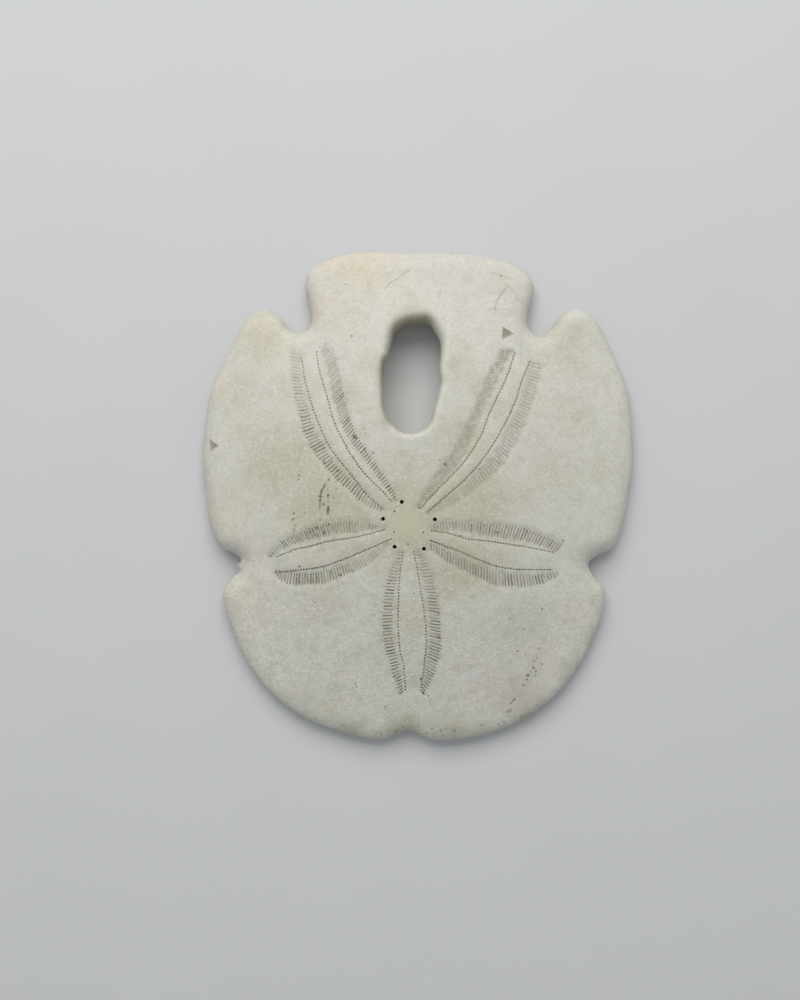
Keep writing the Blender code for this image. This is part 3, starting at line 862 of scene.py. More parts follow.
def read_row(mesh):
    """A row's slits as lines of points, its round pores, and how deep each slit is, in millimetres."""
    spots = np.empty(len(mesh.vertices) * 3)
    mesh.vertices.foreach_get("co", spots)
    spots = spots.reshape(-1, 3)[:, :2] / MM
    ends = np.array([edge.vertices[:] for edge in mesh.edges])
    deep = np.empty(len(mesh.vertices), dtype=np.float32)
    mesh.attributes["deep"].data.foreach_get("value", deep)
    on_slit = np.zeros(len(spots), dtype=bool)
    on_slit[ends.ravel()] = True
    slits = spots[on_slit].reshape(-1, STICK_POINTS, 2)
    return slits, spots[~on_slit], deep[on_slit].reshape(-1, STICK_POINTS)[:, 0]


class PoreRows:
    """Every row's slits, round pores, depths, and dirt and painted shade, kept for the shell that they are
    carved into.
    """

    rows = []


def lay_out_rows(pores, outline, material):
    """Run the pore row tree on the guide lines of every row."""
    tree = pore_row_tree()
    PoreRows.rows = []
    seed = FIRST_SEED
    for count, *rows in PETALS:
        for row, dirt in rows:
            holder = guide_curve("row_guide", [photo_line(line, outline) for line in row])
            values = {"Pores": count, "Jitter": pores.jitter, "Seed": seed, "Material": material}
            mesh = run_tree(holder, tree, values)
            PoreRows.rows.append((*read_row(mesh), dirt))
            bpy.data.meshes.remove(mesh)
            bpy.data.objects.remove(holder)
            seed += SEED_STEP


def row_strength(shares, count):
    """How dark each pore pair of a row is, from the shares that are given from the disc to the tip."""
    return np.interp(np.linspace(0.0, 1.0, count), np.linspace(0.0, 1.0, len(shares)), shares)


def round_pits(pores, outline):
    """Every round hole: its place, floor radius, rim radius, depth, and how dark it is painted by kind: dirt
    with painted shade, painted shade deep in a hole, and dirt specks.
    """
    dot = pores.dot_radius / MM
    dot_depth = pores.dot_depth / MM
    pits = []
    for _slits, dots, _deep, (shares, _line, _stain) in PoreRows.rows:
        for (x, y), dirt in zip(dots, row_strength(shares, len(dots))):
            chance = 0.75 + 0.25 * math.sin(97.0 * x + 31.0 * y)
            # The round pores' darkness is dirt and painted shade of their depth.
            dark = min(1.0, (0.27 + 0.73 * dirt) * chance)
            pits.append((x, y, 0.5 * dot, 1.3 * dot, dot_depth, dark, 0.0, 0.0))
    # The genital pores are painted near black deep inside, as shade; the tiny ocular pores get dark paint and
    # some of that shade.
    genital = pores.genital_radius / MM
    for x, y in from_photo(GENITAL_PORES, outline):
        pits.append((x, y, 0.75 * genital, 1.2 * genital, GENITAL_DEPTH, 0.0, 1.0, 0.0))
    for x, y in from_photo(OCULAR_PORES, outline):
        pits.append((x, y, *OCULAR_SIZE, 1.0, 0.3, 0.0))
    for (x, y), (_px, _py, size, dark) in zip(from_photo([speck[:2] for speck in SPECKS], outline), SPECKS):
        radius = size * PIXEL
        pits.append((x, y, 0.5 * radius, 1.5 * radius, SPECK_DEPTH, 0.0, 0.0, min(1.0, 1.15 * dark)))
    return np.array(pits)


def food_grooves(outline):
    """Branching grooves that lead over the underside to the mouth, as lines of points."""
    mouth = np.array(MOUTH[0])
    lines = []
    for target in GROOVE_TARGETS:
        out = np.array(target) - mouth
        reach = np.linalg.norm(out)
        out /= reach
        aside = np.array([-out[1], out[0]])
        fork = mouth + out * 5.5
        lines.append([mouth + out * 1.8, fork])
        for side in (-1.0, 1.0):
            branch = [fork]
            for share in np.linspace(0.12, 1.0, 9):
                bend = 7.5 * math.sin(min(1.0, share * 1.15) * math.pi / 2.0)
                branch.append(fork + out * (reach - 4.5) * share + aside * side * bend)
            lines.append(branch)
            for share, length in ((3, 7.0), (5, 8.0), (7, 7.0)):
                start = branch[share]
                heading = out * 0.72 + aside * side * 0.69
                curl = aside * side * 0.35
                lines.append([start, start + heading * length * 0.5, start + (heading + curl) * length])
    kept = []
    for line in lines:
        path = spread_along(smooth_path(line, False), 0.5)
        good = is_inside(outline.edge, path) & (distance_to(outline.edge, path) > 3.5)
        good &= distance_to(outline.keyhole, path) > 2.5
        good &= ~is_inside(outline.keyhole, path)
        stop = len(path) if good.all() else int(np.argmin(good))
        joined = np.linalg.norm(path[0] - mouth) < 2.0
        joined = joined or np.linalg.norm(np.vstack(kept) - path[0], axis=1).min() < 0.6
        if stop > 3 and joined:
            kept.append(path[:stop])
    return kept


def line_guides(outline, pores):
    """Lines to carve: each path with its half width, depth and dirt, and whether it is above."""
    lines = []
    for crack, half_width, dirt in CRACKS:
        path = spread_along(photo_line(crack, outline), 0.25)
        lines.append((path, half_width, CRACK_DEPTH, dirt, True))
    for _slits, dots, _deep, (_shares, dirt, _stain) in PoreRows.rows:
        lines.append((dots, 0.09 + 0.07 * dirt, 0.04 + 0.06 * dirt, 0.9 * dirt, True))
    for path in food_grooves(outline):
        lines.append((path, pores.groove_width / MM / 2.0, pores.groove_depth / MM, 0.35, False))
    return lines


def carve_tree():
    """Sinks slits, round pores, specks, cracks and grooves into the smooth shell.

    Distances are measured in plan to guides that lie flat. The masks that colour the carved places
    are stored as attributes.
    """
    sockets = [
        ("Slits", "NodeSocketObject"),
        ("Pits", "NodeSocketObject"),
        ("Lines", "NodeSocketObject"),
        ("Slit width", "NodeSocketFloat"),
        ("Slit depth", "NodeSocketFloat"),
        ("Band depth", "NodeSocketFloat"),
        ("Unevenness", "NodeSocketFloat"),
        ("Under level", "NodeSocketFloat"),
        ("Material", "NodeSocketMaterial"),
    ]
    tree, builder, entry = new_geometry_tree("carve_shell", sockets)
    position = builder.add("GeometryNodeInputPosition").outputs[0]
    place = builder.add("ShaderNodeSeparateXYZ", {0: position}).outputs
    upper = builder.named("upper")
    under = builder.sum("SUBTRACT", 1.0, upper)
    level = builder.sum("MULTIPLY", under, entry["Under level"])
    flat = builder.add("ShaderNodeCombineXYZ", {"X": place[0], "Y": place[1], "Z": level}).outputs[0]

    def guide(name, element):
        inputs = {"Object": entry[name]}
        shape = builder.add("GeometryNodeObjectInfo", inputs, transform_space="RELATIVE").outputs["Geometry"]
        inputs = {"Target": shape, "Source Position": flat}
        near = builder.add("GeometryNodeProximity", inputs, target_element=element).outputs["Distance"]
        inputs = {"Geometry": shape, "Sample Position": flat}
        nearest = builder.add("GeometryNodeSampleNearest", inputs, domain="POINT").outputs[0]

        def read(label):
            inputs = {"Geometry": shape, "Value": builder.named(label), "Index": nearest}
            return builder.add("GeometryNodeSampleIndex", inputs, data_type="FLOAT").outputs[0]

        return near, read

    slit_gap, slit_value = guide("Slits", "EDGES")
    slit_floor = builder.sum("MULTIPLY", entry["Slit width"], 0.08)
    slit_rim = builder.sum("MULTIPLY", entry["Slit width"], 0.62)
    slit = builder.fade(slit_gap, slit_floor, slit_rim, 1.0, 0.0)
    band = builder.fade(slit_gap, *BAND_FADE, 1.0, 0.0)
    slit_drop = builder.sum("MULTIPLY", slit, slit_value("deep"), entry["Slit depth"])
    band_drop = builder.sum("MULTIPLY", band, entry["Band depth"])

    pit_gap, pit_value = guide("Pits", "POINTS")
    pit = builder.fade(pit_gap, pit_value("floor"), pit_value("rim"), 1.0, 0.0)
    pit_drop = builder.sum("MULTIPLY", pit, pit_value("depth"))

    line_gap, line_value = guide("Lines", "EDGES")
    line = builder.fade(line_gap, 0.0, line_value("rim"), 1.0, 0.0)
    line_drop = builder.sum("MULTIPLY", line, line_value("depth"))

    inputs = {"Vector": position, "Scale": 85.0, "Detail": 1.5, "Roughness": 0.5}
    coarse = builder.add("ShaderNodeTexNoise", inputs).outputs["Fac"]
    inputs = {"Vector": position, "Scale": 320.0, "Detail": 2.0, "Roughness": 0.6}
    fine = builder.add("ShaderNodeTexNoise", inputs).outputs["Fac"]
    lumps = builder.sum("ADD", coarse, builder.sum("MULTIPLY", fine, 0.35))
    lump_drop = builder.sum("MULTIPLY", lumps, entry["Unevenness"], builder.named("away"))

    carved = builder.sum("MAXIMUM", slit_drop, pit_drop, line_drop)
    drop_above = builder.sum("ADD", carved, band_drop, lump_drop)
    drop_above = builder.sum("MULTIPLY", drop_above, upper)
    lift_below = builder.sum("MULTIPLY", builder.sum("ADD", line_drop, lump_drop), under)
    change = builder.sum("SUBTRACT", lift_below, drop_above)
    offset = builder.add("ShaderNodeCombineXYZ", {"Z": change}).outputs[0]

    # The pore mask paints dirt and shade into the slits and round pores.
    slit_dirt_and_shade = builder.sum("MULTIPLY", slit, slit_value("dirt"))
    pore = builder.sum("MAXIMUM", slit_dirt_and_shade, builder.sum("MULTIPLY", pit, pit_value("dirt")))
    masks = {
        "pore": builder.sum("MULTIPLY", pore, upper),
        "band": builder.sum("MULTIPLY", band, slit_value("stain"), upper),
        # Painted shade deep in the genital and ocular pores.
        "hole": builder.sum("MULTIPLY", pit, pit_value("hole"), upper),
        "speck": builder.sum("MULTIPLY", pit, pit_value("speck"), upper),
        "crack": builder.sum("MULTIPLY", line, line_value("dirt")),
    }
    shape = entry["Geometry"]
    for label, mask in masks.items():
        shape = builder.store(shape, label, mask)
    shape = builder.add("GeometryNodeSetPosition", {"Geometry": shape, "Offset": offset}).outputs[0]
    close_tree(builder, shape, entry["Material"])
    return tree


def ring(centre, radius, count, turn=0.0):
    """Points on a circle."""
    angles = turn + np.arange(count) * math.tau / count
    return np.column_stack([centre[0] + radius * np.cos(angles), centre[1] + radius * np.sin(angles)])


def pit_cells(pits):
    """The middle of each round hole and rings about it, closer together where its wall is."""
    cells = []
    for x, y, floor, rim, *_rest in pits:
        radii = [floor, rim, rim + 0.075]
        if rim > WIDE_RIM:
            radii = [0.35 * floor, 0.75 * floor, floor, (floor + rim) / 2.0, rim, rim + 0.1, rim + 0.25]
        cells.append([(x, y)])
        for number, radius in enumerate(radii):
            count = max(6, min(18, round(math.tau * radius / 0.15)))
            cells.append(ring((x, y), radius, count, 0.5 * number))
    return np.vstack(cells)


def slit_cells(slits):
    """Points along and across the slits of one row, so that each slit and each wall between is cut."""
    ends_in = 2.0 * slits[0] - slits[1]
    ends_out = 2.0 * slits[-1] - slits[-2]
    rows = np.concatenate([[ends_in], slits, [ends_out]])
    cells = []
    for number in range(len(rows) - 1):
        this, after = rows[number], rows[number + 1]
        for share in (0.0, 0.14, 0.27, 0.5, 0.73, 0.86):
            if number == 0 and share < 0.5:
                continue
            if number == len(rows) - 2 and share > 0.5:
                continue
            near = this[0] + (after[0] - this[0]) * share
            far = this[-1] + (after[-1] - this[-1]) * share
            run = far - near
            length = max(np.linalg.norm(run), 1e-6)
            inner = min(0.25, 0.5 * length) / length
            steps = max(2, round(length / 0.42))
            marks = np.linspace(0.0, 1.0, steps + 1)[1:-1]
            marks = [-0.25 / length, -0.1 / length, 0.2 * inner, *marks, 1.0 - 0.2 * inner,
                     1.0 + 0.1 / length, 1.0 + 0.25 / length]
            cells.append(near + np.outer(marks, run))
    return np.vstack(cells)


def side_lines(path, offsets, step):
    """Copies of an open path moved to its sides, with points one step apart."""
    even = spread_along(path, step)
    along = np.gradient(even, axis=0)
    along /= np.maximum(np.linalg.norm(along, axis=1), 1e-9)[:, None]
    aside = np.column_stack([-along[:, 1], along[:, 0]])
    return np.vstack([even + aside * offset for offset in offsets])


def rings_into_shell(loop, curve, offsets):
    """Copies of a loop moved into the shell, without the points where they would fold.

    The edge runs clockwise and the keyhole runs the other way, so the shell is on the right of both.
    """
    along = np.roll(loop, -1, axis=0) - np.roll(loop, 1, axis=0)
    along /= np.linalg.norm(along, axis=1)[:, None]
    rightwards = np.column_stack([along[:, 1], -along[:, 0]])
    rings = []
    for offset in offsets:
        copy = loop + rightwards * offset
        rings.append(copy[distance_to(curve, copy) > 0.95 * offset])
    return np.vstack(rings)


def even_grid(outline, step):
    """An even triangular grid over the shell."""
    low = outline.edge.min(axis=0)
    high = outline.edge.max(axis=0)
    rows = int((high[1] - low[1]) / (step * math.sqrt(0.75))) + 1
    columns = int((high[0] - low[0]) / step) + 1
    row, column = np.meshgrid(np.arange(rows), np.arange(columns), indexing="ij")
    x = low[0] + (column + 0.5 * (row % 2)) * step
    y = low[1] + row * step * math.sqrt(0.75)
    points = np.column_stack([x.ravel(), y.ravel()])
    return points[outline.holds(points)]


def without_twins(points, apart):
    """The points without those that nearly meet one before them."""
    tree = search_tree(points)
    kept = np.ones(len(points), dtype=bool)
    for index, (x, y) in enumerate(points):
        if kept[index]:
            for _spot, other, _gap in tree.find_range((x, y, 0.0), apart):
                if other > index:
                    kept[other] = False
    return points[kept]


def gather(groups):
    """Points of all groups in turn, each group keeping clear of the ones before it."""
    taken = None
    for points, clear in groups:
        if taken is None:
            taken = without_twins(points, FIRST_TWIN_GAP)
            continue
        points = points[gap_to_spots(taken, points) > clear]
        if len(points):
            taken = np.vstack([taken, without_twins(points, TWIN_GAP)])
    return taken


def upper_points(outline, pits, lines):
    """Every inner point of the upper side, close together where there is detail."""
    edge_offsets = EDGE_ROUND_ABOVE * (1.0 - np.cos(np.radians(UPPER_EDGE_TURNS)))
    edge_rings, keyhole_rings = outline.rings(edge_offsets, UPPER_KEYHOLE_RINGS)

    dots = np.vstack([dots for _slits, dots, *_rest in PoreRows.rows])
    slit_points = np.vstack([slit_cells(slits) for slits, *_rest in PoreRows.rows])
    rims = pits[:, 3]
    holes = pits[rims > WIDE_RIM]
    small = pits[rims <= WIDE_RIM]
    slit_points = slit_points[gap_to_spots(dots, slit_points) > SLIT_FROM_DOT]
    slit_points = slit_points[gap_to_spots(holes[:, :2], slit_points) > SLIT_FROM_HOLE]
    small = small[gap_to_spots(holes[:, :2], small[:, :2]) > SMALL_FROM_HOLE]

    chip_points = []
    for chip in CHIPS:
        corners = from_photo(chip, outline)
        closed = np.vstack([corners, corners[:1]])
        for offset in CHIP_SIDES:
            for start, end in zip(closed, closed[1:]):
                chip_points.append(side_lines(np.array([start, end]), [offset], 0.16))
    thin = np.vstack([side_lines(path, THIN_SIDES, 0.2) for path, *_rest, above in lines if above])
    thin = thin[gap_to_spots(dots, thin) > THIN_FROM_DOT]
    detail = gather([
        (pit_cells(holes), 0.0),
        (pit_cells(small), 0.05),
        (slit_points, 0.05),
        (thin, 0.06),
        (np.vstack(chip_points), 0.06),
    ])
    detail = detail[outline.holds(detail)]
    near = even_grid(outline, NEAR_STEP)
    near = outline.keep(near[gap_to_spots(detail, near) < NEAR_REACH], 0.6, 0.4)
    points = gather([
        (detail, 0.0),
        (keyhole_rings, 0.12),
        (edge_rings, 0.2),
        (near, 0.27),
        (even_grid(outline, FACE_STEP), 0.42),
    ])
    return outline.keep(points, 0.06, 0.02)


def lower_points(outline, lines):
    """Every inner point of the underside."""
    edge_rings, keyhole_rings = outline.rings(LOWER_EDGE_RINGS, LOWER_KEYHOLE_RINGS)
    wells = []
    for centre, radius, _depth in (MOUTH, ANUS):
        wells.append([centre])
        for share in WELL_RINGS:
            wells.append(ring(centre, share * radius, max(6, round(math.tau * share * radius / 0.4))))
    grooves = [side_lines(path, GROOVE_SIDES, 0.5) for path, *_rest, above in lines if not above]
    points = gather([
        (np.vstack(wells), 0.0),
        (np.vstack(grooves), 0.14),
        (keyhole_rings, 0.12),
        (edge_rings, 0.15),
        (even_grid(outline, UNDER_STEP), 0.6),
    ])
    return outline.keep(points, 0.03, 0.03)


def triangulate(edge, keyhole, inner):
    """Triangles that fill the outline but not the keyhole; the two curves come first."""
    points = np.vstack([edge, keyhole, inner])
    bounds = []
    start = 0
    for loop in (edge, keyhole):
        count = len(loop)
        bounds += [(start + k, start + (k + 1) % count) for k in range(count)]
        start += count
    plan = [Vector(point) for point in points]
    found, _lines, faces, _a, _b, _c = delaunay_2d_cdt(plan, bounds, [], 0, 1e-6)
    if len(found) != len(points):
        raise RuntimeError(f"{len(points) - len(found)} points of the plan fell together")
    faces = np.array(faces)
    middle = points[faces].mean(axis=1)
    keep = is_inside(edge, middle) & ~is_inside(keyhole, middle)
    return points, faces[keep]


def spot_mask(points, spots, outline):
    """How strongly soft round spots, given in the photo's pixels, cover each point."""
    places = from_photo([spot[:2] for spot in spots], outline)
    cover = np.zeros(len(points))
    for (x, y), (_px, _py, radius, strength) in zip(places, spots):
        gap = np.hypot(points[:, 0] - x, points[:, 1] - y)
        cover = np.maximum(cover, strength * np.exp(-((gap / (radius * PIXEL)) ** 2)))
    return cover


def disc_mask(points, outline):
    """The apical disc: a small star with five blunt rays that end at the genital pores."""
    centre = from_photo([DISC], outline)[0]
    x = points[:, 0] - centre[0]
    y = points[:, 1] - centre[1]
    ray = 0.5 + 0.5 * np.cos(5.0 * (np.arctan2(y, x) - math.pi / 2.0))
    reach = 2.3 + 0.9 * ray
    return 1.0 - smooth_step(0.65, 1.2, np.hypot(x, y) / reach)


def build_smooth_shell(outline, pits, lines):
    """The closed shell before carving: two sheets that share the edge and the keyhole."""
    edge, keyhole = outline.edge_points, outline.keyhole_points
    shared = len(edge) + len(keyhole)
    top, top_faces = triangulate(edge, keyhole, upper_points(outline, pits, lines))
    bottom, bottom_faces = triangulate(edge, keyhole, lower_points(outline, lines))

    level = np.concatenate([np.full(len(edge), WIDEST_LEVEL), keyhole_level(keyhole, outline.sizes)])
    inner, below = top[shared:], bottom[shared:]
    ease = smooth_step(0.0, 3.0, distance_to(outline.edge, inner))
    ease *= smooth_step(0.3, 3.0, distance_to(outline.keyhole, inner))
    to_edge = distance_to(outline.edge, below)
    under_ease = smooth_step(0.5, 5.0, to_edge) * smooth_step(FLAT_RIM, FLAT_RIM + 4.0, to_edge)
    top_z = smooth_top(inner, outline) + relief(inner, outline) * ease

    plan = np.vstack([top, below])
    heights = np.concatenate([level, top_z, smooth_bottom(below, outline)])
    spots = np.column_stack([plan, heights]) * MM
    lower_number = np.arange(len(bottom))
    lower_number[shared:] += len(top) - shared
    faces = np.vstack([top_faces, lower_number[bottom_faces][:, ::-1]])
    mesh = bpy.data.meshes.new(SHELL)
    mesh.from_pydata(spots.tolist(), [], faces.tolist())
    mesh.shade_smooth()

    # Painted shade mixed with olive dirt on the keyhole's wall: strongest at its rear, weaker on its left
    # side and none on its right side.
    wall = (1.0 - smooth_step(0.0, 2.7, distance_to(outline.keyhole, plan))) ** 2
    rear = smooth_step(25.0, 31.0, plan[:, 1]) * smooth_step(3.2, 1.0, plan[:, 0])
    wall *= np.maximum(rear, 0.45 * smooth_step(-4.0, -6.0, plan[:, 0]))
    values = {
        "upper": np.concatenate([np.zeros(shared), np.ones(len(inner)), np.zeros(len(below))]),
        "away": np.concatenate([np.zeros(shared), ease, under_ease]),
        "grime": spot_mask(plan, GRIME_AND_SHADE_SPOTS, outline),
        "warmth": spot_mask(plan, WARM_SPOTS, outline),
        "cream": spot_mask(plan, CREAM_SPOTS, outline),
        "lavender": spot_mask(plan, LAVENDER_SPOTS, outline),
        "disc": disc_mask(plan, outline),
        "wall": wall,
    }
    # Darker inside the two chips: a grey tint with painted shade of the shallow dents.
    chip = np.zeros(len(plan))
    for corners in CHIPS:
        loop = from_photo(corners, outline)
        share = smooth_step(0.0, 0.2, distance_to(loop, plan))
        chip = np.maximum(chip, np.where(is_inside(loop, plan), share, 0.0))
    values["chip"] = chip
    for label in ("disc", "warmth", "chip"):
        values[label][len(top):] = 0.0
    store_numbers(mesh, values)
    return mesh


def carving_guides(pits, lines):
    """The flat guide objects for slits, round pits and lines."""
    spots, edges, deep, dirt, stain = [], [], [], [], []
    fade = np.linspace(0.75, 1.0, STICK_POINTS)
    for slits, _dots, row_deep, (shares, _line, row_stain) in PoreRows.rows:
        for slit, depth, share in zip(slits, row_deep, row_strength(shares, len(slits))):
            first = len(spots)
            edges += [(first + k, first + k + 1) for k in range(STICK_POINTS - 1)]
            spots += [(x, y, 0.0) for x, y in slit]
            deep += [depth * (0.3 + 0.7 * share)] * STICK_POINTS
            # Slit darkness: dirt and painted shade of the slit.
            dirt += list(np.minimum(1.0, (0.5 + 0.7 * depth) * share * fade))
            stain += [row_stain] * STICK_POINTS
    slit_guide = guide_mesh("slit_guide", spots, edges, {"deep": deep, "dirt": dirt, "stain": stain})

    spots = [(x, y, 0.0) for x, y in pits[:, :2]]
    attributes = {
        "floor": pits[:, 2] * MM,
        "rim": pits[:, 3] * MM,
        "depth": pits[:, 4] * MM,
        "dirt": pits[:, 5],
        "hole": pits[:, 6],
        "speck": pits[:, 7],
    }
    pit_guide = guide_mesh("pit_guide", spots, [], attributes)

    spots, edges, rim, depth, dirt = [], [], [], [], []
    for path, half_width, line_depth, line_dirt, above in lines:
        edges += [(len(spots) + k, len(spots) + k + 1) for k in range(len(path) - 1)]
        spots += [(x, y, 0.0 if above else UNDER_GUIDE) for x, y in path]
        rim += [half_width * MM] * len(path)
        depth += [line_depth * MM] * len(path)
        dirt += [line_dirt] * len(path)
    line_guide = guide_mesh("line_guide", spots, edges, {"rim": rim, "depth": depth, "dirt": dirt})
    return slit_guide, pit_guide, line_guide


def shell_material(colours):
    """Chalky shell: mottled cream and cool grey, dirt specks, tiny tubercles all over, dirt with painted
    shade in the pores, chips and keyhole, and painted shade deep in the genital pores.
    """
    material = bpy.data.materials.new("bleached_shell_finish")
    material.use_nodes = True
    tree = material.node_tree
    surface = tree.nodes["Principled BSDF"]
    builder = NodeBuilder(tree)
    place = builder.add("ShaderNodeTexCoord").outputs["Object"]
    inputs = {"Vector": place, "Scale": (1000.0, 1000.0, 1000.0)}
    millimetres = builder.add("ShaderNodeMapping", inputs).outputs[0]

    def noise(scale, detail, roughness=0.55):
        inputs = {"Vector": millimetres, "Scale": scale, "Detail": detail, "Roughness": roughness}
        return builder.add("ShaderNodeTexNoise", inputs).outputs["Fac"]

    def mask(name):
        return builder.add("ShaderNodeAttribute", attribute_name=name).outputs["Fac"]

    def mix(factor, first, second, blend="MIX"):
        inputs = {"Factor_Float": factor, "A_Color": first, "B_Color": second}
        node = builder.add("ShaderNodeMix", inputs, data_type="RGBA", blend_type=blend)
        return builder.output(node, "Result_Color")

    patches = noise(0.16, 3.0)
    blotch = noise(0.5, 4.0, 0.6)
    speckle = noise(2.0, 3.0, 0.6)
    grain = noise(5.5, 3.0, 0.6)
    tint = noise(0.9, 3.0, 0.6)
    cream = builder.sum("ADD", mask("cream"), builder.fade(patches, 0.3, 0.7, -0.12, 0.12))
    cream = builder.fade(cream, 0.0, 1.0)
    colour = mix(cream, (*colours.cool, 1.0), (*colours.cream, 1.0))
    colour = mix(mask("warmth"), colour, (*colours.warm, 1.0))
    tint = builder.sum("ADD", builder.fade(tint, 0.5, 0.7, 0.0, 0.8), mask("lavender"))
    colour = mix(builder.fade(tint, 0.0, 1.0), colour, (*colours.lavender, 1.0), "MULTIPLY")
    shade = (*colours.blotch, 1.0)
    ahead = builder.add("ShaderNodeSeparateXYZ", {0: millimetres}).outputs[1]
    front = builder.fade(ahead, -6.0, -24.0, 0.6, 0.85)
    amount = builder.sum("MULTIPLY", builder.fade(blotch, 0.42, 0.75), front)
    colour = mix(amount, colour, shade, "MULTIPLY")
    amount = builder.sum("MULTIPLY", builder.fade(speckle, 0.55, 0.3), front)
    colour = mix(amount, colour, shade, "MULTIPLY")
    colour = mix(builder.fade(grain, 0.5, 0.3, 0.0, 0.18), colour, shade, "MULTIPLY")
    amount = builder.sum("MULTIPLY", builder.fade(speckle, 0.52, 0.72), front, 0.75)
    colour = mix(amount, colour, (*colours.chalk, 1.0))

    ragged = noise(1.3, 4.0, 0.7)
    layers = (
        ("disc", 0.75, colours.disc),
        # The keyhole's wall: olive dirt with painted shade on its rear and left sides.
        ("wall", builder.fade(blotch, 0.2, 0.8, 0.5, 0.9), colours.wall),
        # Grime spots; those by the keyhole are partly painted shade.
        ("grime", builder.fade(speckle, 0.25, 0.65, 0.35, 1.0), colours.grime),
        ("band", builder.fade(ragged, 0.36, 0.58, 0.15, 0.7), colours.grime),
        # Inside the chips: a grey tint with painted shade of the dents.
        ("chip", builder.fade(speckle, 0.3, 0.7, 0.7, 1.0), colours.chip),
        ("crack", 0.8, colours.pore),
        # Pores: dirt with painted shade of their depth.
        ("pore", builder.fade(speckle, 0.2, 0.8, 0.75, 1.0), colours.pore),
        ("speck", builder.fade(grain, 0.3, 0.6, 0.35, 1.0), colours.speck),
        # Painted shade deep in the genital and ocular pores.
        ("hole", 1.0, colours.hole),
    )
    for name, strength, paint in layers:
        colour = mix(builder.sum("MULTIPLY", mask(name), strength), colour, (*paint, 1.0))
    tree.links.new(colour, surface.inputs["Base Color"])

    tree.links.new(builder.fade(blotch, 0.2, 0.8, 0.8, 0.95), surface.inputs["Roughness"])
    surface.inputs["Specular IOR Level"].default_value = 0.25

    inputs = {"Vector": millimetres, "Scale": 2.8, "Randomness": 0.9}
    bumps = builder.add("ShaderNodeTexVoronoi", inputs, feature="F1").outputs["Distance"]
    bumps = builder.fade(bumps, 0.1, 0.55, 1.0, 0.0)
    swell = builder.sum("MULTIPLY", speckle, 1.6)
    height = builder.sum("ADD", builder.sum("MULTIPLY", bumps, 0.8), grain, swell)
    inputs = {"Height": height, "Strength": 0.3, "Distance": 0.0001}
    tree.links.new(builder.add("ShaderNodeBump", inputs).outputs[0], surface.inputs["Normal"])
    return material


def floor_material(stage):
    """Plain pale paper with a hint of mottling."""
    material = bpy.data.materials.new("pale_floor")
    material.use_nodes = True
    tree = material.node_tree
    surface = tree.nodes["Principled BSDF"]
    builder = NodeBuilder(tree)
    place = builder.add("ShaderNodeTexCoord").outputs["Object"]
    inputs = {"Vector": place, "Scale": 40.0, "Detail": 3.0}
    noise = builder.add("ShaderNodeTexNoise", inputs).outputs["Fac"]
    darker = tuple(0.96 * channel for channel in stage.floor_colour)
    inputs = {"Factor_Float": noise, "A_Color": (*stage.floor_colour, 1.0), "B_Color": (*darker, 1.0)}
    mixed = builder.add("ShaderNodeMix", inputs, data_type="RGBA")
    tree.links.new(builder.output(mixed, "Result_Color"), surface.inputs["Base Color"])
    surface.inputs["Roughness"].default_value = 0.9
    surface.inputs["Specular IOR Level"].default_value = 0.2
    return material


def length(name, description, default):
    """A size in metres that a user can change."""
    return bpy.props.FloatProperty(
        name=name, description=description, default=default, min=0.0, precision=5,
        subtype="DISTANCE", unit="LENGTH",
    )


def colour(name, description, default):
    """A colour that a user can change."""
    return bpy.props.FloatVectorProperty(
        name=name, description=description, default=default, min=0.0, max=1.0, size=3, subtype="COLOR",
    )


class ShellSizes(bpy.types.PropertyGroup):
    """Sizes of the shell's form."""

    apex_height: length("Apex height", "Height of the dome's top above the floor", 0.0136)
    margin_height: length("Margin height", "Height of the shell just inside its round edge", 0.0048)
    lip_rise: length("Lip rise", "How far the lip about the keyhole stands up", 0.0009)
    lip_width: length("Lip width", "How far the lip about the keyhole reaches", 0.0046)
    strip_rise: length("Petal strip rise", "How far the middle of each petal swells", 0.00012)
    valley_depth: length("Valley depth", "Depth of the valleys that lead into the notches", 0.0004)
    chip_depth: length("Chip depth", "Depth of the two chips with three sides", 0.0005)
    unevenness: length("Unevenness", "How far the surface strays from a smooth form", 0.00016)


class PoreSizes(bpy.types.PropertyGroup):
    """Sizes of the pores and grooves."""

    slit_width: length("Slit width", "Width of the slits in the petals", 0.00027)
    slit_depth: length("Slit depth", "Depth of the slits in the petals", 0.0002)
    band_depth: length("Band depth", "How far the bands of slits lie below the surface", 0.00012)
    dot_radius: length("Round pore radius", "Radius of the round pores beside the slits", 0.000165)
    dot_depth: length("Round pore depth", "Depth of the round pores beside the slits", 0.0002)
    genital_radius: length("Genital pore radius", "Radius of the five pores at the disc", 0.00032)
    groove_width: length("Food groove width", "Width of the grooves of the underside", 0.0010)
    groove_depth: length("Food groove depth", "Depth of the grooves of the underside", 0.0003)
    jitter: length("Pore jitter", "How far pores stray from an even row", 0.00005)


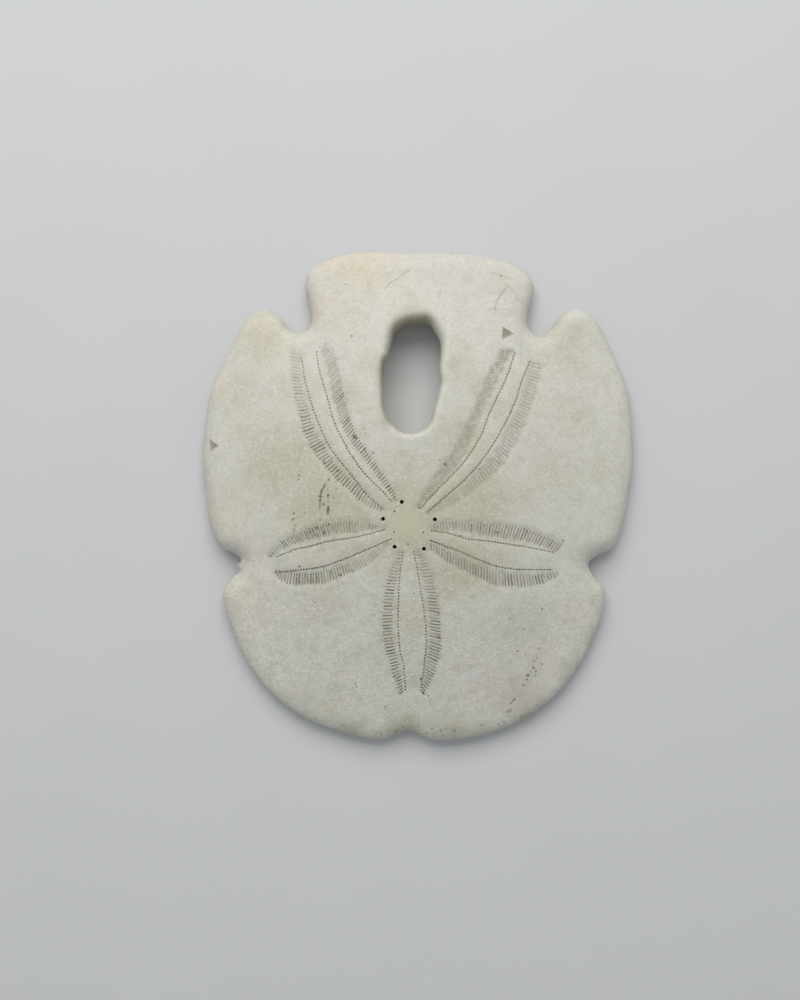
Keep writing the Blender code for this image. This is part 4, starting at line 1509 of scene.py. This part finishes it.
class ShellColours(bpy.types.PropertyGroup):
    """Colours of the shell's chalk, its dirt, and the shade painted into its pores, chips and keyhole."""

    cream: colour("Cream", "Colour of the greenish cream patches", (0.54, 0.528, 0.412))
    cool: colour("Cool grey", "Colour of the cooler, neutral patches", (0.66, 0.646, 0.583))
    warm: colour("Warm tint", "Colour of the warm, pinkish patches", (0.69, 0.622, 0.505))
    lavender: colour("Lavender", "What lavender grey patches multiply the colour by", (0.985, 0.963, 0.993))
    blotch: colour("Blotches", "What the mottling multiplies the colour by", (0.84, 0.845, 0.80))
    chalk: colour("Chalk", "Colour of the palest specks", (0.78, 0.775, 0.72))
    disc: colour("Disc", "Colour of the apical disc", (0.56, 0.535, 0.385))
    # The keyhole wall's colour stands for olive dirt and painted shade.
    wall: colour("Keyhole wall", "Colour of the keyhole's dirty wall", (0.33, 0.31, 0.205))
    # Grey-olive grime, also used for painted shade by the keyhole.
    grime: colour("Grime", "Colour of the soft grey-olive stains", (0.36, 0.34, 0.27))
    # Inside the chips: a grey tint and painted shade of the dents.
    chip: colour("Chips", "Colour inside the two chips", (0.30, 0.28, 0.22))
    # The pores' colour stands for dirt and painted shade.
    pore: colour("Pores", "Colour of the dirt in the pores", (0.075, 0.07, 0.048))
    speck: colour("Specks", "Colour of the dirt specks", (0.09, 0.08, 0.06))
    # Painted shade deep in the genital pores.
    hole: colour("Holes", "Colour deep in the genital pores", (0.02, 0.018, 0.015))


class StageSettings(bpy.types.PropertyGroup):
    """The floor, the lights and the camera."""

    floor_colour: colour("Floor", "Colour of the pale floor", (0.64, 0.65, 0.66))
    key_power: bpy.props.FloatProperty(
        name="Key light", description="Power of the large soft light", default=2.1, min=0.0,
        subtype="POWER", unit="POWER",
    )
    fill: bpy.props.FloatProperty(
        name="Fill", description="Strength of the light from all round", default=0.42, min=0.0,
    )


class SANDDOLLAR_OT_pore_rows(bpy.types.Operator):
    """Lay out the slits and round pores of the five petals"""

    bl_idname = "sand_dollar.pore_rows"
    bl_label = "Lay out pore rows"

    def execute(self, context):
        scene = context.scene
        paint = bpy.data.materials.new("guide")
        lay_out_rows(scene.pore_sizes, Outline(scene.shell_sizes), paint)
        bpy.data.materials.remove(paint)
        return {"FINISHED"}


class SANDDOLLAR_OT_shell(bpy.types.Operator):
    """Build the bleached shell and carve its pores, cracks and grooves"""

    bl_idname = "sand_dollar.shell"
    bl_label = "Build shell"

    def execute(self, context):
        scene = context.scene
        if not PoreRows.rows:
            raise RuntimeError("lay out the pore rows before the shell")
        pores = scene.pore_sizes
        outline = Outline(scene.shell_sizes)
        pits = round_pits(pores, outline)
        lines = line_guides(outline, pores)
        smooth = build_smooth_shell(outline, pits, lines)
        shell = add_object(SHELL, smooth, bpy.context.collection)
        guides = carving_guides(pits, lines)
        values = {
            **dict(zip(("Slits", "Pits", "Lines"), guides)),
            "Slit width": pores.slit_width,
            "Slit depth": pores.slit_depth,
            "Band depth": pores.band_depth,
            "Unevenness": outline.sizes.unevenness,
            "Under level": UNDER_GUIDE * MM,
            "Material": shell_material(scene.shell_colours),
        }
        shell.data = run_tree(shell, carve_tree(), values)
        bpy.data.meshes.remove(smooth)
        for guide in guides:
            bpy.data.objects.remove(guide)
        shell.data.name = SHELL
        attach(shell, "root")
        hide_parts(NODE)
        return {"FINISHED"}


class SANDDOLLAR_OT_stage(bpy.types.Operator):
    """Add the pale floor, the soft studio light and the camera above"""

    bl_idname = "sand_dollar.stage"
    bl_label = "Set the stage"

    def execute(self, context):
        scene = context.scene
        stage = scene.stage_settings
        builder = bmesh.new()
        bmesh.ops.create_grid(builder, x_segments=1, y_segments=1, size=FLOOR_REACH)
        mesh = bpy.data.meshes.new("floor")
        builder.to_mesh(mesh)
        builder.free()
        mesh.materials.append(floor_material(stage))
        floor = add_object("floor", mesh, scene.collection)

        lamp = bpy.data.lights.new("key_light", "AREA")
        lamp.shape = "RECTANGLE"
        lamp.size, lamp.size_y = KEY_SIZE
        lamp.energy = stage.key_power
        lamp.color = KEY_COLOUR
        key = add_object("key_light", lamp, scene.collection)
        key.location = KEY_PLACE
        key.rotation_euler = (-key.location).to_track_quat("-Z", "Y").to_euler()

        world = bpy.data.worlds.new("soft_fill")
        world.use_nodes = True
        background = world.node_tree.nodes["Background"]
        background.inputs["Color"].default_value = FILL_COLOUR
        background.inputs["Strength"].default_value = stage.fill
        scene.world = world
        scene.view_settings.view_transform = "Standard"

        lens = bpy.data.cameras.new("camera")
        lens.sensor_width = SENSOR_WIDTH
        lens.lens = SENSOR_WIDTH * CAMERA_RISE / (PHOTO_TALL * PIXEL)
        lens.clip_start = 0.01
        camera = add_object("camera", lens, scene.collection)
        camera.location = (CAMERA_SPOT[0] * MM, CAMERA_SPOT[1] * MM, (CAMERA_RISE + WIDEST_LEVEL) * MM)
        scene.camera = camera
        return {"FINISHED"}


class SANDDOLLAR_PT_panel(bpy.types.Panel):
    """The steps and their sizes and colours"""

    bl_idname = "SANDDOLLAR_PT_panel"
    bl_label = "Sand dollar"
    bl_space_type = "VIEW_3D"
    bl_region_type = "UI"
    bl_category = "Sand dollar"

    def draw(self, context):
        scene = context.scene
        parts = (
            (scene.pore_sizes, "sand_dollar.pore_rows"),
            (scene.shell_sizes, "sand_dollar.shell"),
            (scene.shell_colours, None),
            (scene.stage_settings, "sand_dollar.stage"),
        )
        for group, step in parts:
            box = self.layout.box()
            for name in group.__annotations__:
                box.prop(group, name)
            if step:
                box.operator(step)


CLASSES = (
    ShellSizes,
    PoreSizes,
    ShellColours,
    StageSettings,
    SANDDOLLAR_OT_pore_rows,
    SANDDOLLAR_OT_shell,
    SANDDOLLAR_OT_stage,
    SANDDOLLAR_PT_panel,
)
GROUPS = {
    "shell_sizes": ShellSizes,
    "pore_sizes": PoreSizes,
    "shell_colours": ShellColours,
    "stage_settings": StageSettings,
}


def register():
    """Add the classes and the scene's settings."""
    for item in CLASSES:
        bpy.utils.register_class(item)
    for name, group in GROUPS.items():
        setattr(bpy.types.Scene, name, bpy.props.PointerProperty(type=group))


def unregister():
    """Take the scene's settings and the classes away again."""
    for name in GROUPS:
        delattr(bpy.types.Scene, name)
    for item in reversed(CLASSES):
        bpy.utils.unregister_class(item)


def main():
    """Run the steps in order."""
    register()
    bpy.ops.sand_dollar.pore_rows()
    bpy.ops.sand_dollar.shell()
    bpy.ops.sand_dollar.stage()


if __name__ == "__main__":
    main()
